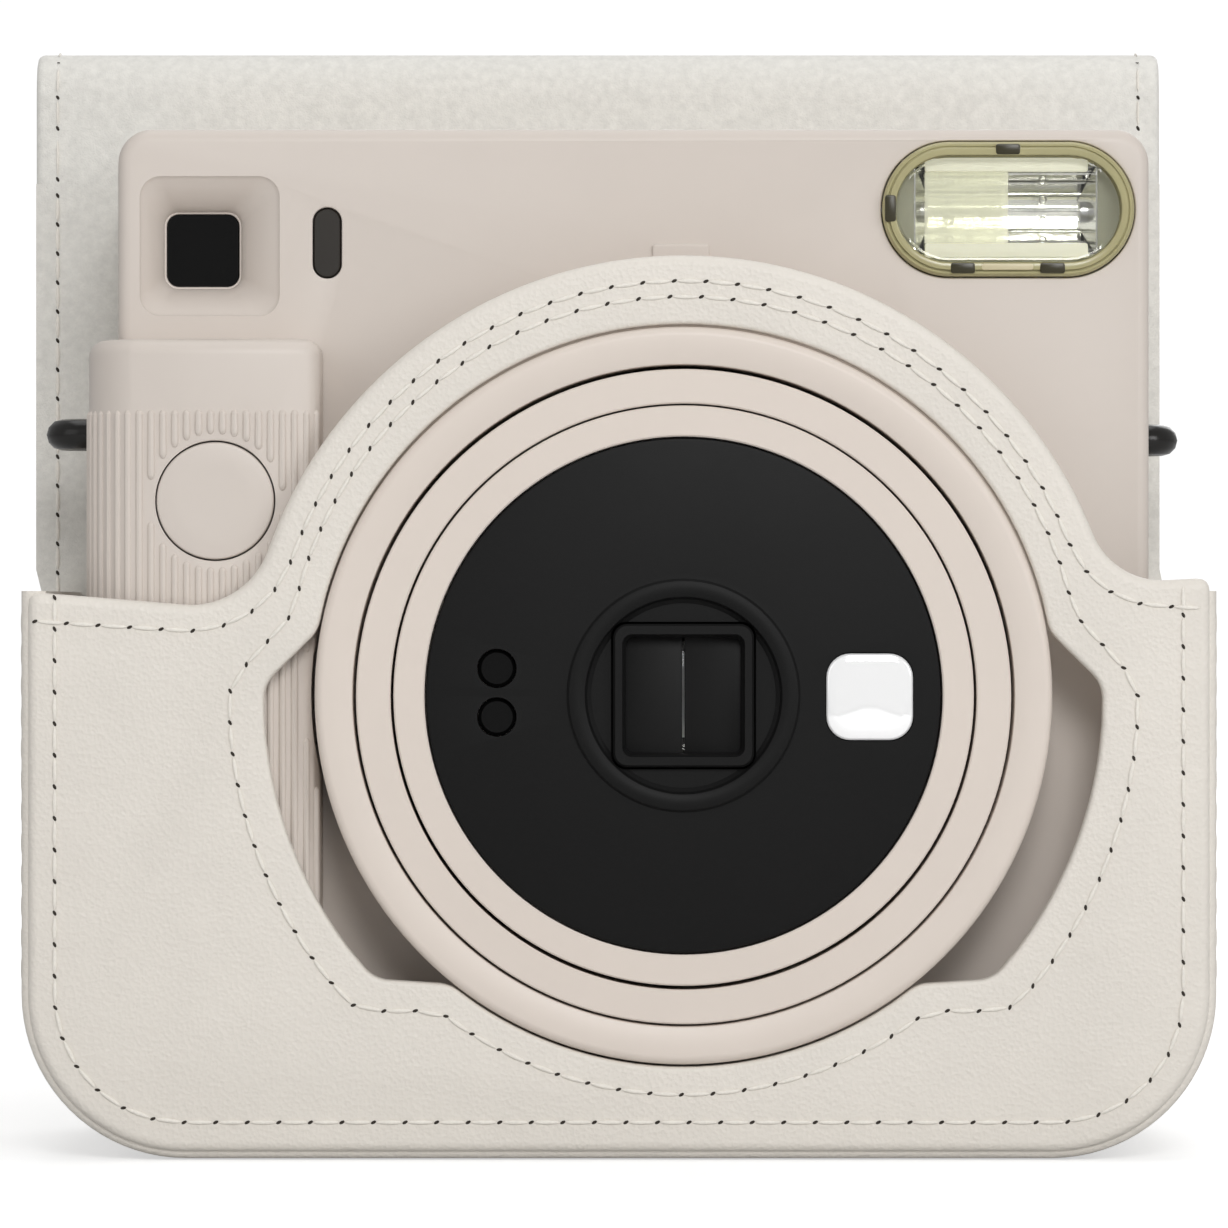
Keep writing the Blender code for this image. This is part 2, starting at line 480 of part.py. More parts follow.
def make_power():
    """Two cells in a column behind the grip, their contacts, and the hatch at the back."""
    centre = (BATTERY_X, BATTERY_Y)
    for name, low in (("battery_lower", 20.0), ("battery_upper", 47.8)):
        turned(name, [(0, low), (BATTERY_RADIUS, low), (BATTERY_RADIUS, low + 26.2), (3, low + 26.2),
                      (3, low + 27.2), (0, low + 27.2)], centre, CELL, 20, "Z")
    block("contact_lower", (-57, -46), (-14, -5), (18.9, 19.7), BRASS)
    block("contact_upper", (-57, -46), (-14, -5), (75.4, 76.2), BRASS)
    prism("battery_door", rounded(HATCH_LEFT + GAP, HATCH_RIGHT - GAP, HATCH_BOTTOM + GAP, HATCH_TOP - GAP, 1.7),
          BODY_BACK - SHELL_WALL, BODY_BACK, CHALK, pivot=(HATCH_LEFT + GAP, BODY_BACK, 0))
    block("circuit_board", (-28, 30), (-15.6, -14.2), (102, 121), BOARD)


make_film_door()
make_film()
make_power()


# ---------------------------------------------------------------- strap lugs

def make_lugs():
    for name, low, high, z, hole in (("strap_lug_left", -72.0, BODY_LEFT - GAP, 88.85, -68.6),
                                     ("strap_lug_right", BODY_RIGHT + GAP, 71.4, 88.15, 69.1)):
        lug = prism(name, rounded(low, high, -5, 5, 1.8, 3), z - 2.25, z + 2.25, RUBBER, "Z")
        cut(ease(lug, 0.5, 1), prism(f"{name}_eye", rounded(hole - 1.2, hole + 1.2, -2.6, 2.6, 1), z - 3, z + 3,
                                     RUBBER, "Z"))


make_lugs()


# ---------------------------------------------------------------- case

def step_arc(level, blend, side):
    """The hollow curve that joins the top edge of one side to the arch over the lens."""
    across = side * ((ARCH_RADIUS + blend) ** 2 - (level + blend - LENS_Z) ** 2) ** 0.5
    turn = 180 - asin((level + blend - LENS_Z) / (ARCH_RADIUS + blend)) * 180 / pi
    return (LENS_X + across, level + blend, blend), turn


def case_front_outline():
    """Round-bottomed panel whose top edge rises into an arch round the lens."""
    (lx, lz, lr), turn = step_arc(67.3, 10, -1)
    left = arc(lx, lz, lr, -90, turn - 180, 5)
    (rx, rz, rr), right_turn = step_arc(70.3, 9, 1)
    right = arc(rx, rz, rr, 360 - right_turn, 270, 5)
    arch = arc(LENS_X, LENS_Z, ARCH_RADIUS, turn, 180 - right_turn, 22)[1:-1]
    corners = (arc(CASE_RIGHT - CASE_CORNER, CASE_CORNER, CASE_CORNER, 0, -90, 7)
               + arc(CASE_LEFT + CASE_CORNER, CASE_CORNER, CASE_CORNER, 270, 180, 7))
    return [(CASE_LEFT, 68.8)] + left + arch + right + [(CASE_RIGHT, 70.5)] + corners


def case_opening():
    """Close round the lens ring above and below, wider at the two side windows."""
    spots = []
    for radius, start, stop, steps in ((OPENING_RADIUS, 10, 170, 20), (WINDOW_RADIUS, 178.5, 222.5, 6),
                                       (OPENING_RADIUS, 231, 309, 10), (WINDOW_RADIUS, 317.5, 361.5, 6)):
        spots += arc(LENS_X, LENS_Z, radius, start, stop, steps)
    return spots


def make_case():
    front = prism("case_front", case_front_outline(), CASE_FRONT, CASE_FRONT + CASE_THICK, LEATHER)
    cut(front, prism("case_opening", case_opening(), CASE_FRONT - 1, CASE_FRONT + CASE_THICK + 1, LEATHER))
    wall, inner = CASE_WALL, CASE_INNER_CORNER
    outside = (arc(CASE_LEFT + CASE_CORNER, CASE_CORNER, CASE_CORNER, 180, 270, 7)
               + arc(CASE_RIGHT - CASE_CORNER, CASE_CORNER, CASE_CORNER, 270, 360, 7))
    inside = (arc(CASE_RIGHT - wall - inner, CASE_BASE + inner, inner, 360, 270, 4)
              + arc(CASE_LEFT + wall + inner, CASE_BASE + inner, inner, 270, 180, 4))
    gusset = ([(CASE_LEFT, CASE_TOP)] + outside + [(CASE_RIGHT, CASE_TOP), (CASE_RIGHT - wall, CASE_TOP)] + inside
              + [(CASE_LEFT + wall, CASE_TOP)])
    prism("case_gusset", gusset, CASE_FRONT + CASE_THICK + GAP, BACK_FRONT - GAP, LEATHER)
    plate = outside + [(CASE_RIGHT, 60), (FLAP_RIGHT, 72), (FLAP_RIGHT, BACK_TOP - 1.5), (FLAP_LEFT, BACK_TOP - 1.5),
                       (FLAP_LEFT, 72), (CASE_LEFT, 60)]
    back = prism("case_back", plate, BACK_FRONT, BACK_REAR, LEATHER)
    cut(back, prism("back_window", rounded(-61.5, 62.5, 10, 118.5, 6), BACK_FRONT - 1, BACK_REAR + 1, LEATHER))


def flap_panel(name, start, turn, low, high):
    """A stiff panel across the flap, from low to high along the direction that turn gives from straight up."""
    along = Vector((sin(radians(turn)), cos(radians(turn))))
    across = Vector((along.y, -along.x)) * FLAP_THICK / 2
    origin = Vector(start)
    spots = [origin + along * low - across, origin + along * high - across,
             origin + along * high + across, origin + along * low + across]
    panel = prism(name, [tuple(p) for p in spots], FLAP_LEFT, FLAP_RIGHT, LEATHER, "X",
                  pivot=(0, start[0], start[1]))
    return panel, tuple(origin + along * FOLD_REACH[name])


def make_flap():
    """Three panels of one sheet: up from the case's back, then folded over backwards."""
    _, roof_fold = flap_panel("flap_riser", (FOLD_Y, BACK_TOP), 0, 1.6, RISER_LENGTH - 2.5)
    _, front_fold = flap_panel("flap_roof", roof_fold, ROOF_REST, 2.5, ROOF_LENGTH - 1.6)
    flap_panel("flap_front", front_fold, ROOF_REST + FRONT_REST, 1.6, FRONT_LENGTH)


make_case()
make_flap()
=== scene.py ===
from math import asin, cos, degrees, hypot, pi, radians, sin

import bmesh
import bpy
from mathutils import Matrix, Vector


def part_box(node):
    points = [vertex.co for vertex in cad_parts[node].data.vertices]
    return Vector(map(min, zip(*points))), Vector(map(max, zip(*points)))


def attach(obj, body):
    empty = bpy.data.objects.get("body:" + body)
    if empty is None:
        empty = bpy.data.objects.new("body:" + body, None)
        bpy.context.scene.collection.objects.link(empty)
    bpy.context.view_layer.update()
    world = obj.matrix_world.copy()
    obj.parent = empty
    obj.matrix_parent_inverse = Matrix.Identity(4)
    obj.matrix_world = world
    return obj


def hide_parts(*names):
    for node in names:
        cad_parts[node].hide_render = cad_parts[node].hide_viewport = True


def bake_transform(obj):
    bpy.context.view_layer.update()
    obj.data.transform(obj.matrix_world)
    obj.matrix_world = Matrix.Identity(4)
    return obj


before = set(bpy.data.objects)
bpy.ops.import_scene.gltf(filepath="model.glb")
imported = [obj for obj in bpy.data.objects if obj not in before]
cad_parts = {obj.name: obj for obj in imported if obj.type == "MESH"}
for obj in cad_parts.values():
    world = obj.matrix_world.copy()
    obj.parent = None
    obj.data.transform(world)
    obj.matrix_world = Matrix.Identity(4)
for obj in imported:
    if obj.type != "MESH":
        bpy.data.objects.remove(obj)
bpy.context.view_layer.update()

mm = 0.001
scene = bpy.context.scene

# where things stand, in millimetres; read from the frame
def boxOf(node):
    low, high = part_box(node)
    return [v / mm for v in low], [v / mm for v in high]

ringLow, ringHigh = boxOf("lens_ring")
lensX, lensZ = (ringLow[0] + ringHigh[0]) / 2, (ringLow[2] + ringHigh[2]) / 2
lensFront = ringLow[1]
bodyLow, bodyHigh = boxOf("front_shell")
bodyFront, bodyBack = -22.0, 20.5
caseLow, caseHigh = boxOf("case_gusset")


# working tools

def deselectAll():
    if bpy.context.object and bpy.context.object.mode != "OBJECT":
        bpy.ops.object.mode_set(mode="OBJECT")
    bpy.ops.object.select_all(action="DESELECT")


def pick(obj):
    deselectAll()
    obj.select_set(True)
    bpy.context.view_layer.objects.active = obj


def edit(obj, kind="FACE"):
    pick(obj)
    bpy.ops.object.mode_set(mode="EDIT")
    bpy.ops.mesh.select_mode(type=kind)
    bpy.ops.mesh.select_all(action="SELECT")


def selectFaces(obj, test):
    # leave edit mode, select the faces that pass, and come back
    bpy.ops.object.mode_set(mode="OBJECT")
    for edge in obj.data.edges:
        edge.select = False
    for vert in obj.data.vertices:
        vert.select = False
    for face in obj.data.polygons:
        face.select = test(face)
    bpy.ops.object.mode_set(mode="EDIT")
    bpy.ops.mesh.select_mode(type="FACE")


def place(axis, u, v, w):
    spot = {"X": (w, u, v), "Y": (u, w, v), "Z": (u, v, w)}[axis]
    return tuple(c * mm for c in spot)


def outlineLoop(name, points, level, axis="Y", filled=True):
    # a circle primitive whose points are moved onto an outline
    deselectAll()
    bpy.ops.mesh.primitive_circle_add(vertices=len(points), radius=0.01, fill_type="NGON" if filled else "NOTHING")
    obj = bpy.context.object
    obj.name = obj.data.name = name
    for vert, (u, v) in zip(obj.data.vertices, points):
        vert.co = place(axis, u, v, level)
    return obj


def outward(obj):
    edit(obj)
    bpy.ops.mesh.remove_doubles(threshold=0.000001)
    bpy.ops.mesh.normals_make_consistent(inside=False)
    bpy.ops.object.mode_set(mode="OBJECT")
    return obj


def slab(name, points, low, high, axis="Y"):
    # an outline extruded into a plate
    obj = outlineLoop(name, points, low, axis)
    edit(obj)
    bpy.ops.mesh.extrude_region_move(TRANSFORM_OT_translate={"value": place(axis, 0, 0, high - low)})
    return outward(obj)


def frontSlab(name, points, near, far):
    # a plate whose depths are counted from the body's front
    return slab(name, points, bodyFront + near, bodyFront + far)


def stacked(name, sections, axis="Y"):
    # outlines with equal numbers of points, skinned one after the other
    obj = outlineLoop(name, *sections[0], axis)
    edit(obj)
    for (before, level), (after, nextLevel) in zip(sections, sections[1:]):
        bpy.ops.mesh.extrude_region_move()
        bpy.ops.object.mode_set(mode="OBJECT")
        starts = [Vector(place(axis, u, v, level)) for u, v in before]
        for vert in [v for v in obj.data.vertices if v.select]:
            nearest = min(range(len(starts)), key=lambda i: (starts[i] - vert.co).length_squared)
            vert.co = place(axis, *after[nearest], nextLevel)
        bpy.ops.object.mode_set(mode="EDIT")
    return outward(obj)


def stepped(name, spot, rows):
    # a solid of rounded rectangles round one point; a row is (width, height, corner radius, depth)
    return stacked(name, [(about(*spot, *size), depth) for *size, depth in rows])


def turned(name, profile, centre, steps=96, axis="Y"):
    # a closed profile of (radius, height) spun about an axis
    points = [(centre[0] + radius, height) for radius, height in profile]
    obj = outlineLoop(name, points, centre[1], "Z", filled=False)
    for vert, (radius, height) in zip(obj.data.vertices, profile):
        vert.co = place(axis, centre[0] + radius, centre[1], height)
    edit(obj, "VERT")
    bpy.ops.mesh.spin(steps=steps, angle=2 * pi, center=place(axis, centre[0], centre[1], 0),
                      axis={"X": (1, 0, 0), "Y": (0, 1, 0), "Z": (0, 0, 1)}[axis])
    return outward(obj)


def arc(u, v, radius, start, stop, steps):
    turns = [radians(start + (stop - start) * i / steps) for i in range(steps + 1)]
    return [(u + radius * cos(a), v + radius * sin(a)) for a in turns]


def roundedBox(left, right, low, high, radius, steps=8):
    r = radius
    return (arc(right - r, low + r, r, -90, 0, steps) + arc(right - r, high - r, r, 0, 90, steps)
            + arc(left + r, high - r, r, 90, 180, steps) + arc(left + r, low + r, r, 180, 270, steps))


def about(x, z, wide, tall, radius, steps=8):
    return roundedBox(x - wide / 2, x + wide / 2, z - tall / 2, z + tall / 2, radius, steps)


def walk(points, pitch, closed=False):
    # places in even steps along a path
    loop = points + [points[0]] if closed else points
    spans = [hypot(b[0] - a[0], b[1] - a[1]) for a, b in zip(loop, loop[1:])]
    count = max(1, round(sum(spans) / pitch))
    step, out, index, done = sum(spans) / count, [], 0, 0.0
    for k in range(count + (0 if closed else 1)):
        target = k * step
        while index < len(spans) - 1 and done + spans[index] < target:
            done += spans[index]
            index += 1
        a, b = loop[index], loop[index + 1]
        t = (target - done) / max(spans[index], 1e-9)
        out.append((a[0] + (b[0] - a[0]) * t, a[1] + (b[1] - a[1]) * t))
    return out


def softened(points, radius, steps=5):
    # round each corner of an outline; radius is one number, or one for each corner
    count = len(points)
    sizes = radius if isinstance(radius, (list, tuple)) else [radius] * count
    out = []
    for i, here in enumerate(points):
        p, a, b = Vector(here), Vector(points[i - 1]), Vector(points[(i + 1) % count])
        toA, toB = (a - p), (b - p)
        if sizes[i] <= 0:
            out.append(tuple(p))
            continue
        half = toA.angle(toB) / 2
        reach = min(sizes[i] / max(0.01, abs(sin(half) / cos(half))), toA.length * 0.49, toB.length * 0.49)
        start, stop = p + toA.normalized() * reach, p + toB.normalized() * reach
        for k in range(steps + 1):
            t = k / steps
            out.append(tuple(start * (1 - t) ** 2 + p * 2 * t * (1 - t) + stop * t ** 2))
    return out


def boolean(obj, tool, operation="DIFFERENCE"):
    pick(obj)
    step = obj.modifiers.new("cut", "BOOLEAN")
    step.operation, step.object, step.solver = operation, tool, "EXACT"
    bpy.ops.object.modifier_apply(modifier=step.name)
    bpy.data.objects.remove(tool, do_unlink=True)
    return obj


def bevelled(obj, width, segments=4, angle=35):
    pick(obj)
    step = obj.modifiers.new("edge", "BEVEL")
    step.width, step.segments, step.limit_method, step.angle_limit = width * mm, segments, "ANGLE", radians(angle)
    step.harden_normals = False
    bpy.ops.object.modifier_apply(modifier=step.name)
    return obj


def rolledEdge(obj, level, roll, axis=1, only=lambda spot: True):
    # turn the rim of the flat face at this level over in a soft round edge
    edit(obj, "EDGE")
    mesh = bmesh.from_edit_mesh(obj.data)
    for e in mesh.edges:
        flat = all(abs(v.co[axis] - level * mm) < 1e-6 for v in e.verts)
        sharp = flat and len(e.link_faces) == 2 and e.calc_face_angle() > 1.2
        e.select = sharp and only((e.verts[0].co + e.verts[1].co) / 2 / mm)
    bmesh.update_edit_mesh(obj.data)
    bpy.ops.mesh.bevel(offset=roll * mm, segments=6, profile=0.5, clamp_overlap=False)
    bpy.ops.object.mode_set(mode="OBJECT")
    return obj


def smooth(obj, angle=35):
    pick(obj)
    bpy.ops.object.shade_smooth_by_angle(angle=radians(angle))
    return obj


def joined(name, objects):
    deselectAll()
    for obj in objects:
        obj.select_set(True)
    bpy.context.view_layer.objects.active = objects[0]
    if len(objects) > 1:
        bpy.ops.object.join()
    obj = bpy.context.object
    obj.name = obj.data.name = name
    return obj


def settle(obj, body, finish, *nodes):
    # material, body and the nodes that a finished piece stands for
    obj.data.materials.clear()
    obj.data.materials.append(finish)
    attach(obj, body)
    if nodes:
        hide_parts(*nodes)
    return obj


# camera, light and floor

view = {"distance": 888.0, "height": 66.2, "lens": 205.7}
bpy.ops.object.camera_add(location=(0, -view["distance"] * mm, view["height"] * mm), rotation=(pi / 2, 0, 0))
camera = bpy.context.object
camera.data.lens, camera.data.sensor_width = view["lens"], 36
camera.data.clip_start = 0.01
scene.camera = camera

lamps = {
    "key": {"at": (0.14, -1.2, 0.62), "size": 0.4, "power": 6.2},
    "right": {"at": (0.9, -0.95, 0.4), "size": 0.5, "power": 3.2},
    "left": {"at": (-0.8, -0.8, 0.4), "size": 0.7, "power": 0.9},
    "top": {"at": (0.0, 0.15, 1.1), "size": 0.9, "power": 3.0},
    "rear": {"at": (0.2, 1.0, 0.6), "size": 0.8, "power": 3.0},
}
for name, lamp in lamps.items():
    aim = Vector((0, 0, 0.06)) - Vector(lamp["at"])
    bpy.ops.object.light_add(type="AREA", location=lamp["at"], rotation=aim.to_track_quat("-Z", "Y").to_euler())
    light = bpy.context.object
    light.name = name
    light.data.size, light.data.energy = lamp["size"], lamp["power"]

scene.view_settings.view_transform = "Standard"
world = bpy.data.worlds.new("studio")
scene.world = world
world.use_nodes = True
tree = world.node_tree
sky = tree.nodes["Background"]
sky.inputs["Strength"].default_value = 0.38
backdrop = tree.nodes.new("ShaderNodeBackground")
backdrop.inputs["Strength"].default_value = 1.05
choose, rays = tree.nodes.new("ShaderNodeMixShader"), tree.nodes.new("ShaderNodeLightPath")
sky.inputs["Color"].default_value = backdrop.inputs["Color"].default_value = (1, 1, 1, 1)
tree.links.new(rays.outputs["Is Camera Ray"], choose.inputs[0])
tree.links.new(sky.outputs[0], choose.inputs[1])
tree.links.new(backdrop.outputs[0], choose.inputs[2])
tree.links.new(choose.outputs[0], tree.nodes["World Output"].inputs[0])
print("camera and light are set")


# finishes

def finishBase(name, color, roughness, metallic=0.0, **extra):
    made = bpy.data.materials.new(name)
    made.use_nodes = True
    shader = made.node_tree.nodes["Principled BSDF"]
    shader.inputs["Base Color"].default_value = (*color, 1)
    shader.inputs["Roughness"].default_value = roughness
    shader.inputs["Metallic"].default_value = metallic
    for socket, value in extra.items():
        shader.inputs[socket.replace("_", " ")].default_value = value
    return made


def addNode(tree, kind, links=(), **values):
    node = tree.nodes.new("ShaderNode" + kind)
    for key, value in values.items():
        if key in node.inputs:
            node.inputs[key].default_value = value
        else:
            setattr(node, key, value)
    for socket, source in links:
        tree.links.new(source, node.inputs[socket])
    return node


def mottle(made, color, spread, size, roughSpread=0.06):
    # slow cloudy change of colour and gloss over the surface
    tree = made.node_tree
    shader = tree.nodes["Principled BSDF"]
    spots = addNode(tree, "TexCoord").outputs["Object"]
    cloud = addNode(tree, "TexNoise", [("Vector", spots)], Scale=1 / (size * mm), Detail=4.0, Roughness=0.6)
    blend = addNode(tree, "ValToRGB", [("Fac", cloud.outputs["Fac"])])
    darker = tuple(max(0, c * (1 - spread)) for c in color)
    lighter = tuple(min(1, c * (1 + spread)) for c in color)
    blend.color_ramp.elements[0].position, blend.color_ramp.elements[1].position = 0.3, 0.7
    blend.color_ramp.elements[0].color, blend.color_ramp.elements[1].color = (*darker, 1), (*lighter, 1)
    tree.links.new(blend.outputs["Color"], shader.inputs["Base Color"])
    base = shader.inputs["Roughness"].default_value
    rough = addNode(tree, "MapRange", [("Value", cloud.outputs["Fac"])])
    for end, value in (("To Min", base - roughSpread), ("To Max", base + roughSpread)):
        rough.inputs[end].default_value = value
    tree.links.new(rough.outputs["Result"], shader.inputs["Roughness"])


def relief(made, layers):
    # fine bumps: each layer is (texture, size in mm, strength, depth in mm)
    tree = made.node_tree
    spots = addNode(tree, "TexCoord").outputs["Object"]
    normal = None
    for kind, size, strength, depth in layers:
        if kind == "cells":
            grain = addNode(tree, "TexVoronoi", [("Vector", spots)], Scale=1 / (size * mm)).outputs["Distance"]
        else:
            grain = addNode(tree, "TexNoise", [("Vector", spots)], Scale=1 / (size * mm), Detail=3.0).outputs["Fac"]
        bump = addNode(tree, "Bump", [("Height", grain)], Strength=strength, Distance=depth * mm)
        if normal:
            tree.links.new(normal, bump.inputs["Normal"])
        normal = bump.outputs["Normal"]
    tree.links.new(normal, tree.nodes["Principled BSDF"].inputs["Normal"])
    return made


def plastic(name, color, roughness, grain=0.12, strength=0.25, shine=0.4):
    made = finishBase(name, color, roughness, Specular_IOR_Level=shine)
    mottle(made, color, 0.012, 18)
    return relief(made, [("noise", grain, strength, 0.02), ("noise", 9.0, 0.08, 0.2)])


def cloth(name, color, roughness, cloud, bumps, **extra):
    made = finishBase(name, color, roughness, **extra)
    mottle(made, color, *cloud)
    return relief(made, bumps)


def paintedGlowPlastic(name, color, roughness, glow):
    # a pale plastic with a painted glow in its own colour, standing in for light that reaches the flash parts behind
    # the glass
    return cloth(name, color, roughness, (0.03, 3.0), [("noise", 0.8, 0.2, 0.05)], Emission_Color=(*color, 1),
                 Emission_Strength=glow)


tones = {
    "shell": (0.66, 0.595, 0.54), "ring": (0.73, 0.65, 0.583), "leather": (0.765, 0.72, 0.655),
    "felt": (0.77, 0.755, 0.71), "thread": (0.83, 0.79, 0.72), "black": (0.009, 0.009, 0.009),
    "lug": (0.012, 0.011, 0.010), "amber": (0.62, 0.57, 0.31),
}
shellPlastic = plastic("shellPlastic", tones["shell"], 0.42)
ringPlastic = plastic("ringPlastic", tones["ring"], 0.40)
blackPlastic = plastic("blackPlastic", tones["black"], 0.46, 0.15, 0.5, 0.12)
glossBlack = plastic("glossBlack", (0.004, 0.004, 0.004), 0.12, 0.3, 0.02, 0.2)
lugRubber = plastic("lugRubber", tones["lug"], 0.22, 0.3, 0.1)

leather = cloth("leather", tones["leather"], 0.46, (0.02, 14),
                [("noise", 7.0, 0.3, 0.6), ("cells", 0.6, 0.55, 0.11), ("noise", 0.35, 0.6, 0.1)],
                Sheen_Weight=0.08, Specular_IOR_Level=0.45)
feltTone = cloth("felt", tones["felt"], 0.95, (0.07, 1.1, 0.03),
                 [("noise", 0.9, 0.35, 0.2), ("noise", 0.22, 0.6, 0.12)],
                 Sheen_Weight=0.35, Specular_IOR_Level=0.1)
threadTone = cloth("thread", tones["thread"], 0.6, (0.06, 0.6), [("noise", 0.12, 0.6, 0.05)], Sheen_Weight=0.3)
# dark discs at the needle holes: painted shade of the holes
needleHoleShade = plastic("needleHoleShade", (0.035, 0.028, 0.022), 0.9)
# the selfie mirror's white emission is a painted glow, a painted reflection that brightens the mirror
mirrorGlass = finishBase("mirrorGlass", (0.97, 0.97, 0.97), 0.04, 0.35, Emission_Color=(1, 1, 1, 1),
                         Emission_Strength=0.16)
relief(mirrorGlass, [("noise", 12.0, 0.03, 0.1)])
steelTone = finishBase("steelTone", (0.55, 0.55, 0.56), 0.32, 1.0)
brassTone = finishBase("brassTone", (0.72, 0.55, 0.25), 0.3, 1.0)
for metal in (steelTone, brassTone):
    relief(metal, [("noise", 0.3, 0.2, 0.02)])
clearGlass = finishBase("clearGlass", (0.99, 0.99, 0.97), 0.03, Transmission_Weight=1.0, IOR=1.45)
relief(clearGlass, [("noise", 15.0, 0.03, 0.1)])
amberPlastic = finishBase("amberPlastic", tones["amber"], 0.18, Transmission_Weight=0.35, IOR=1.45)
mottle(amberPlastic, tones["amber"], 0.04, 6)
flashMirror = finishBase("flashMirror", (0.93, 0.93, 0.90), 0.14, 1.0)
relief(flashMirror, [("noise", 2.5, 0.3, 0.2)])
# the frosted diffuser's emission is a painted glow, standing in for light that reaches it behind the flash glass
frosted = finishBase("frosted", (0.96, 0.96, 0.86), 0.2, Transmission_Weight=0.7, IOR=1.15,
                     Emission_Color=(0.96, 0.96, 0.84, 1), Emission_Strength=0.12)
mottle(frosted, (0.96, 0.96, 0.84), 0.04, 2.0)
relief(frosted, [("cells", 0.6, 0.3, 0.1)])
# the flash's cream bars and bed carry a painted glow
creamPlastic = paintedGlowPlastic("creamPlastic", (0.86, 0.85, 0.68), 0.4, 0.3)
bedTone = paintedGlowPlastic("bedTone", (0.40, 0.40, 0.29), 0.35, 0.06)
clipTone = plastic("clipTone", (0.035, 0.03, 0.012), 0.3)
tanPlastic = plastic("tanPlastic", (0.62, 0.55, 0.36), 0.35)
sensorTone = plastic("sensorTone", (0.027, 0.023, 0.019), 0.35, 0.3, 0.1, 0.3)
boardTone = plastic("boardTone", (0.04, 0.17, 0.08), 0.35, 1.2, 0.4)
filmTone = plastic("filmTone", (0.82, 0.82, 0.80), 0.35)
cellTone = plastic("cellTone", (0.16, 0.19, 0.3), 0.3, 2.5, 0.1)
print("finishes are ready")


# lens rings

lens = {"outer": 44.8, "ringGap": 39.95, "middleGap": 35.35, "face": 31.3, "groove": 0.21, "droop": 0.12, "edge": 1.1,
        "steps": 160, "eyes": 22.65, "eyeRises": (3.3, -2.6), "mirror": (22.6, -0.15), "frame": (17.1, 17.4)}


def lensRings():
    centre, back = (lensX, lensZ), bodyFront - 0.3
    r, front, edge, groove = lens["outer"], lensFront, lens["edge"], lens["groove"]
    shoulder = [(r - edge + edge * sin(radians(a)), front + edge * (1 - cos(radians(a)))) for a in range(0, 91, 10)]
    inner = lens["ringGap"] + groove
    profile = [(inner, front + 0.3), (inner + 0.08, front + 0.1), (inner + 0.25, front)] + shoulder
    outerRing = turned("lensRing", profile + [(r, back), (inner, back)], centre, lens["steps"])
    settle(smooth(outerRing), "ring", ringPlastic, "lens_ring")
    for name, node, body, wide, narrow, drop, rear in (
            ("middleRing", "outer_barrel", "barrel_outer", lens["ringGap"] - groove, lens["middleGap"] + groove,
             lens["droop"], -12.5),
            ("innerRing", "inner_barrel", "barrel_inner", lens["middleGap"] - groove * 0.7,
             lens["face"] + 0.15, 0, -13.0)):
        lip = 0.18
        profile = [(narrow, front + lip), (narrow + lip, front), (wide - lip, front), (wide, front + lip),
                   (wide, rear), (narrow + 0.02, rear)]
        if node == "inner_barrel":
            profile = profile[:-1] + [(wide - 2, rear), (wide - 2, front + 5.5), (13, front + 5.5), (13, front + 3.9),
                                      (narrow, front + 3.9)]
        ring = turned(name, profile, (lensX, lensZ - drop), lens["steps"])
        settle(smooth(ring), body, ringPlastic, node)


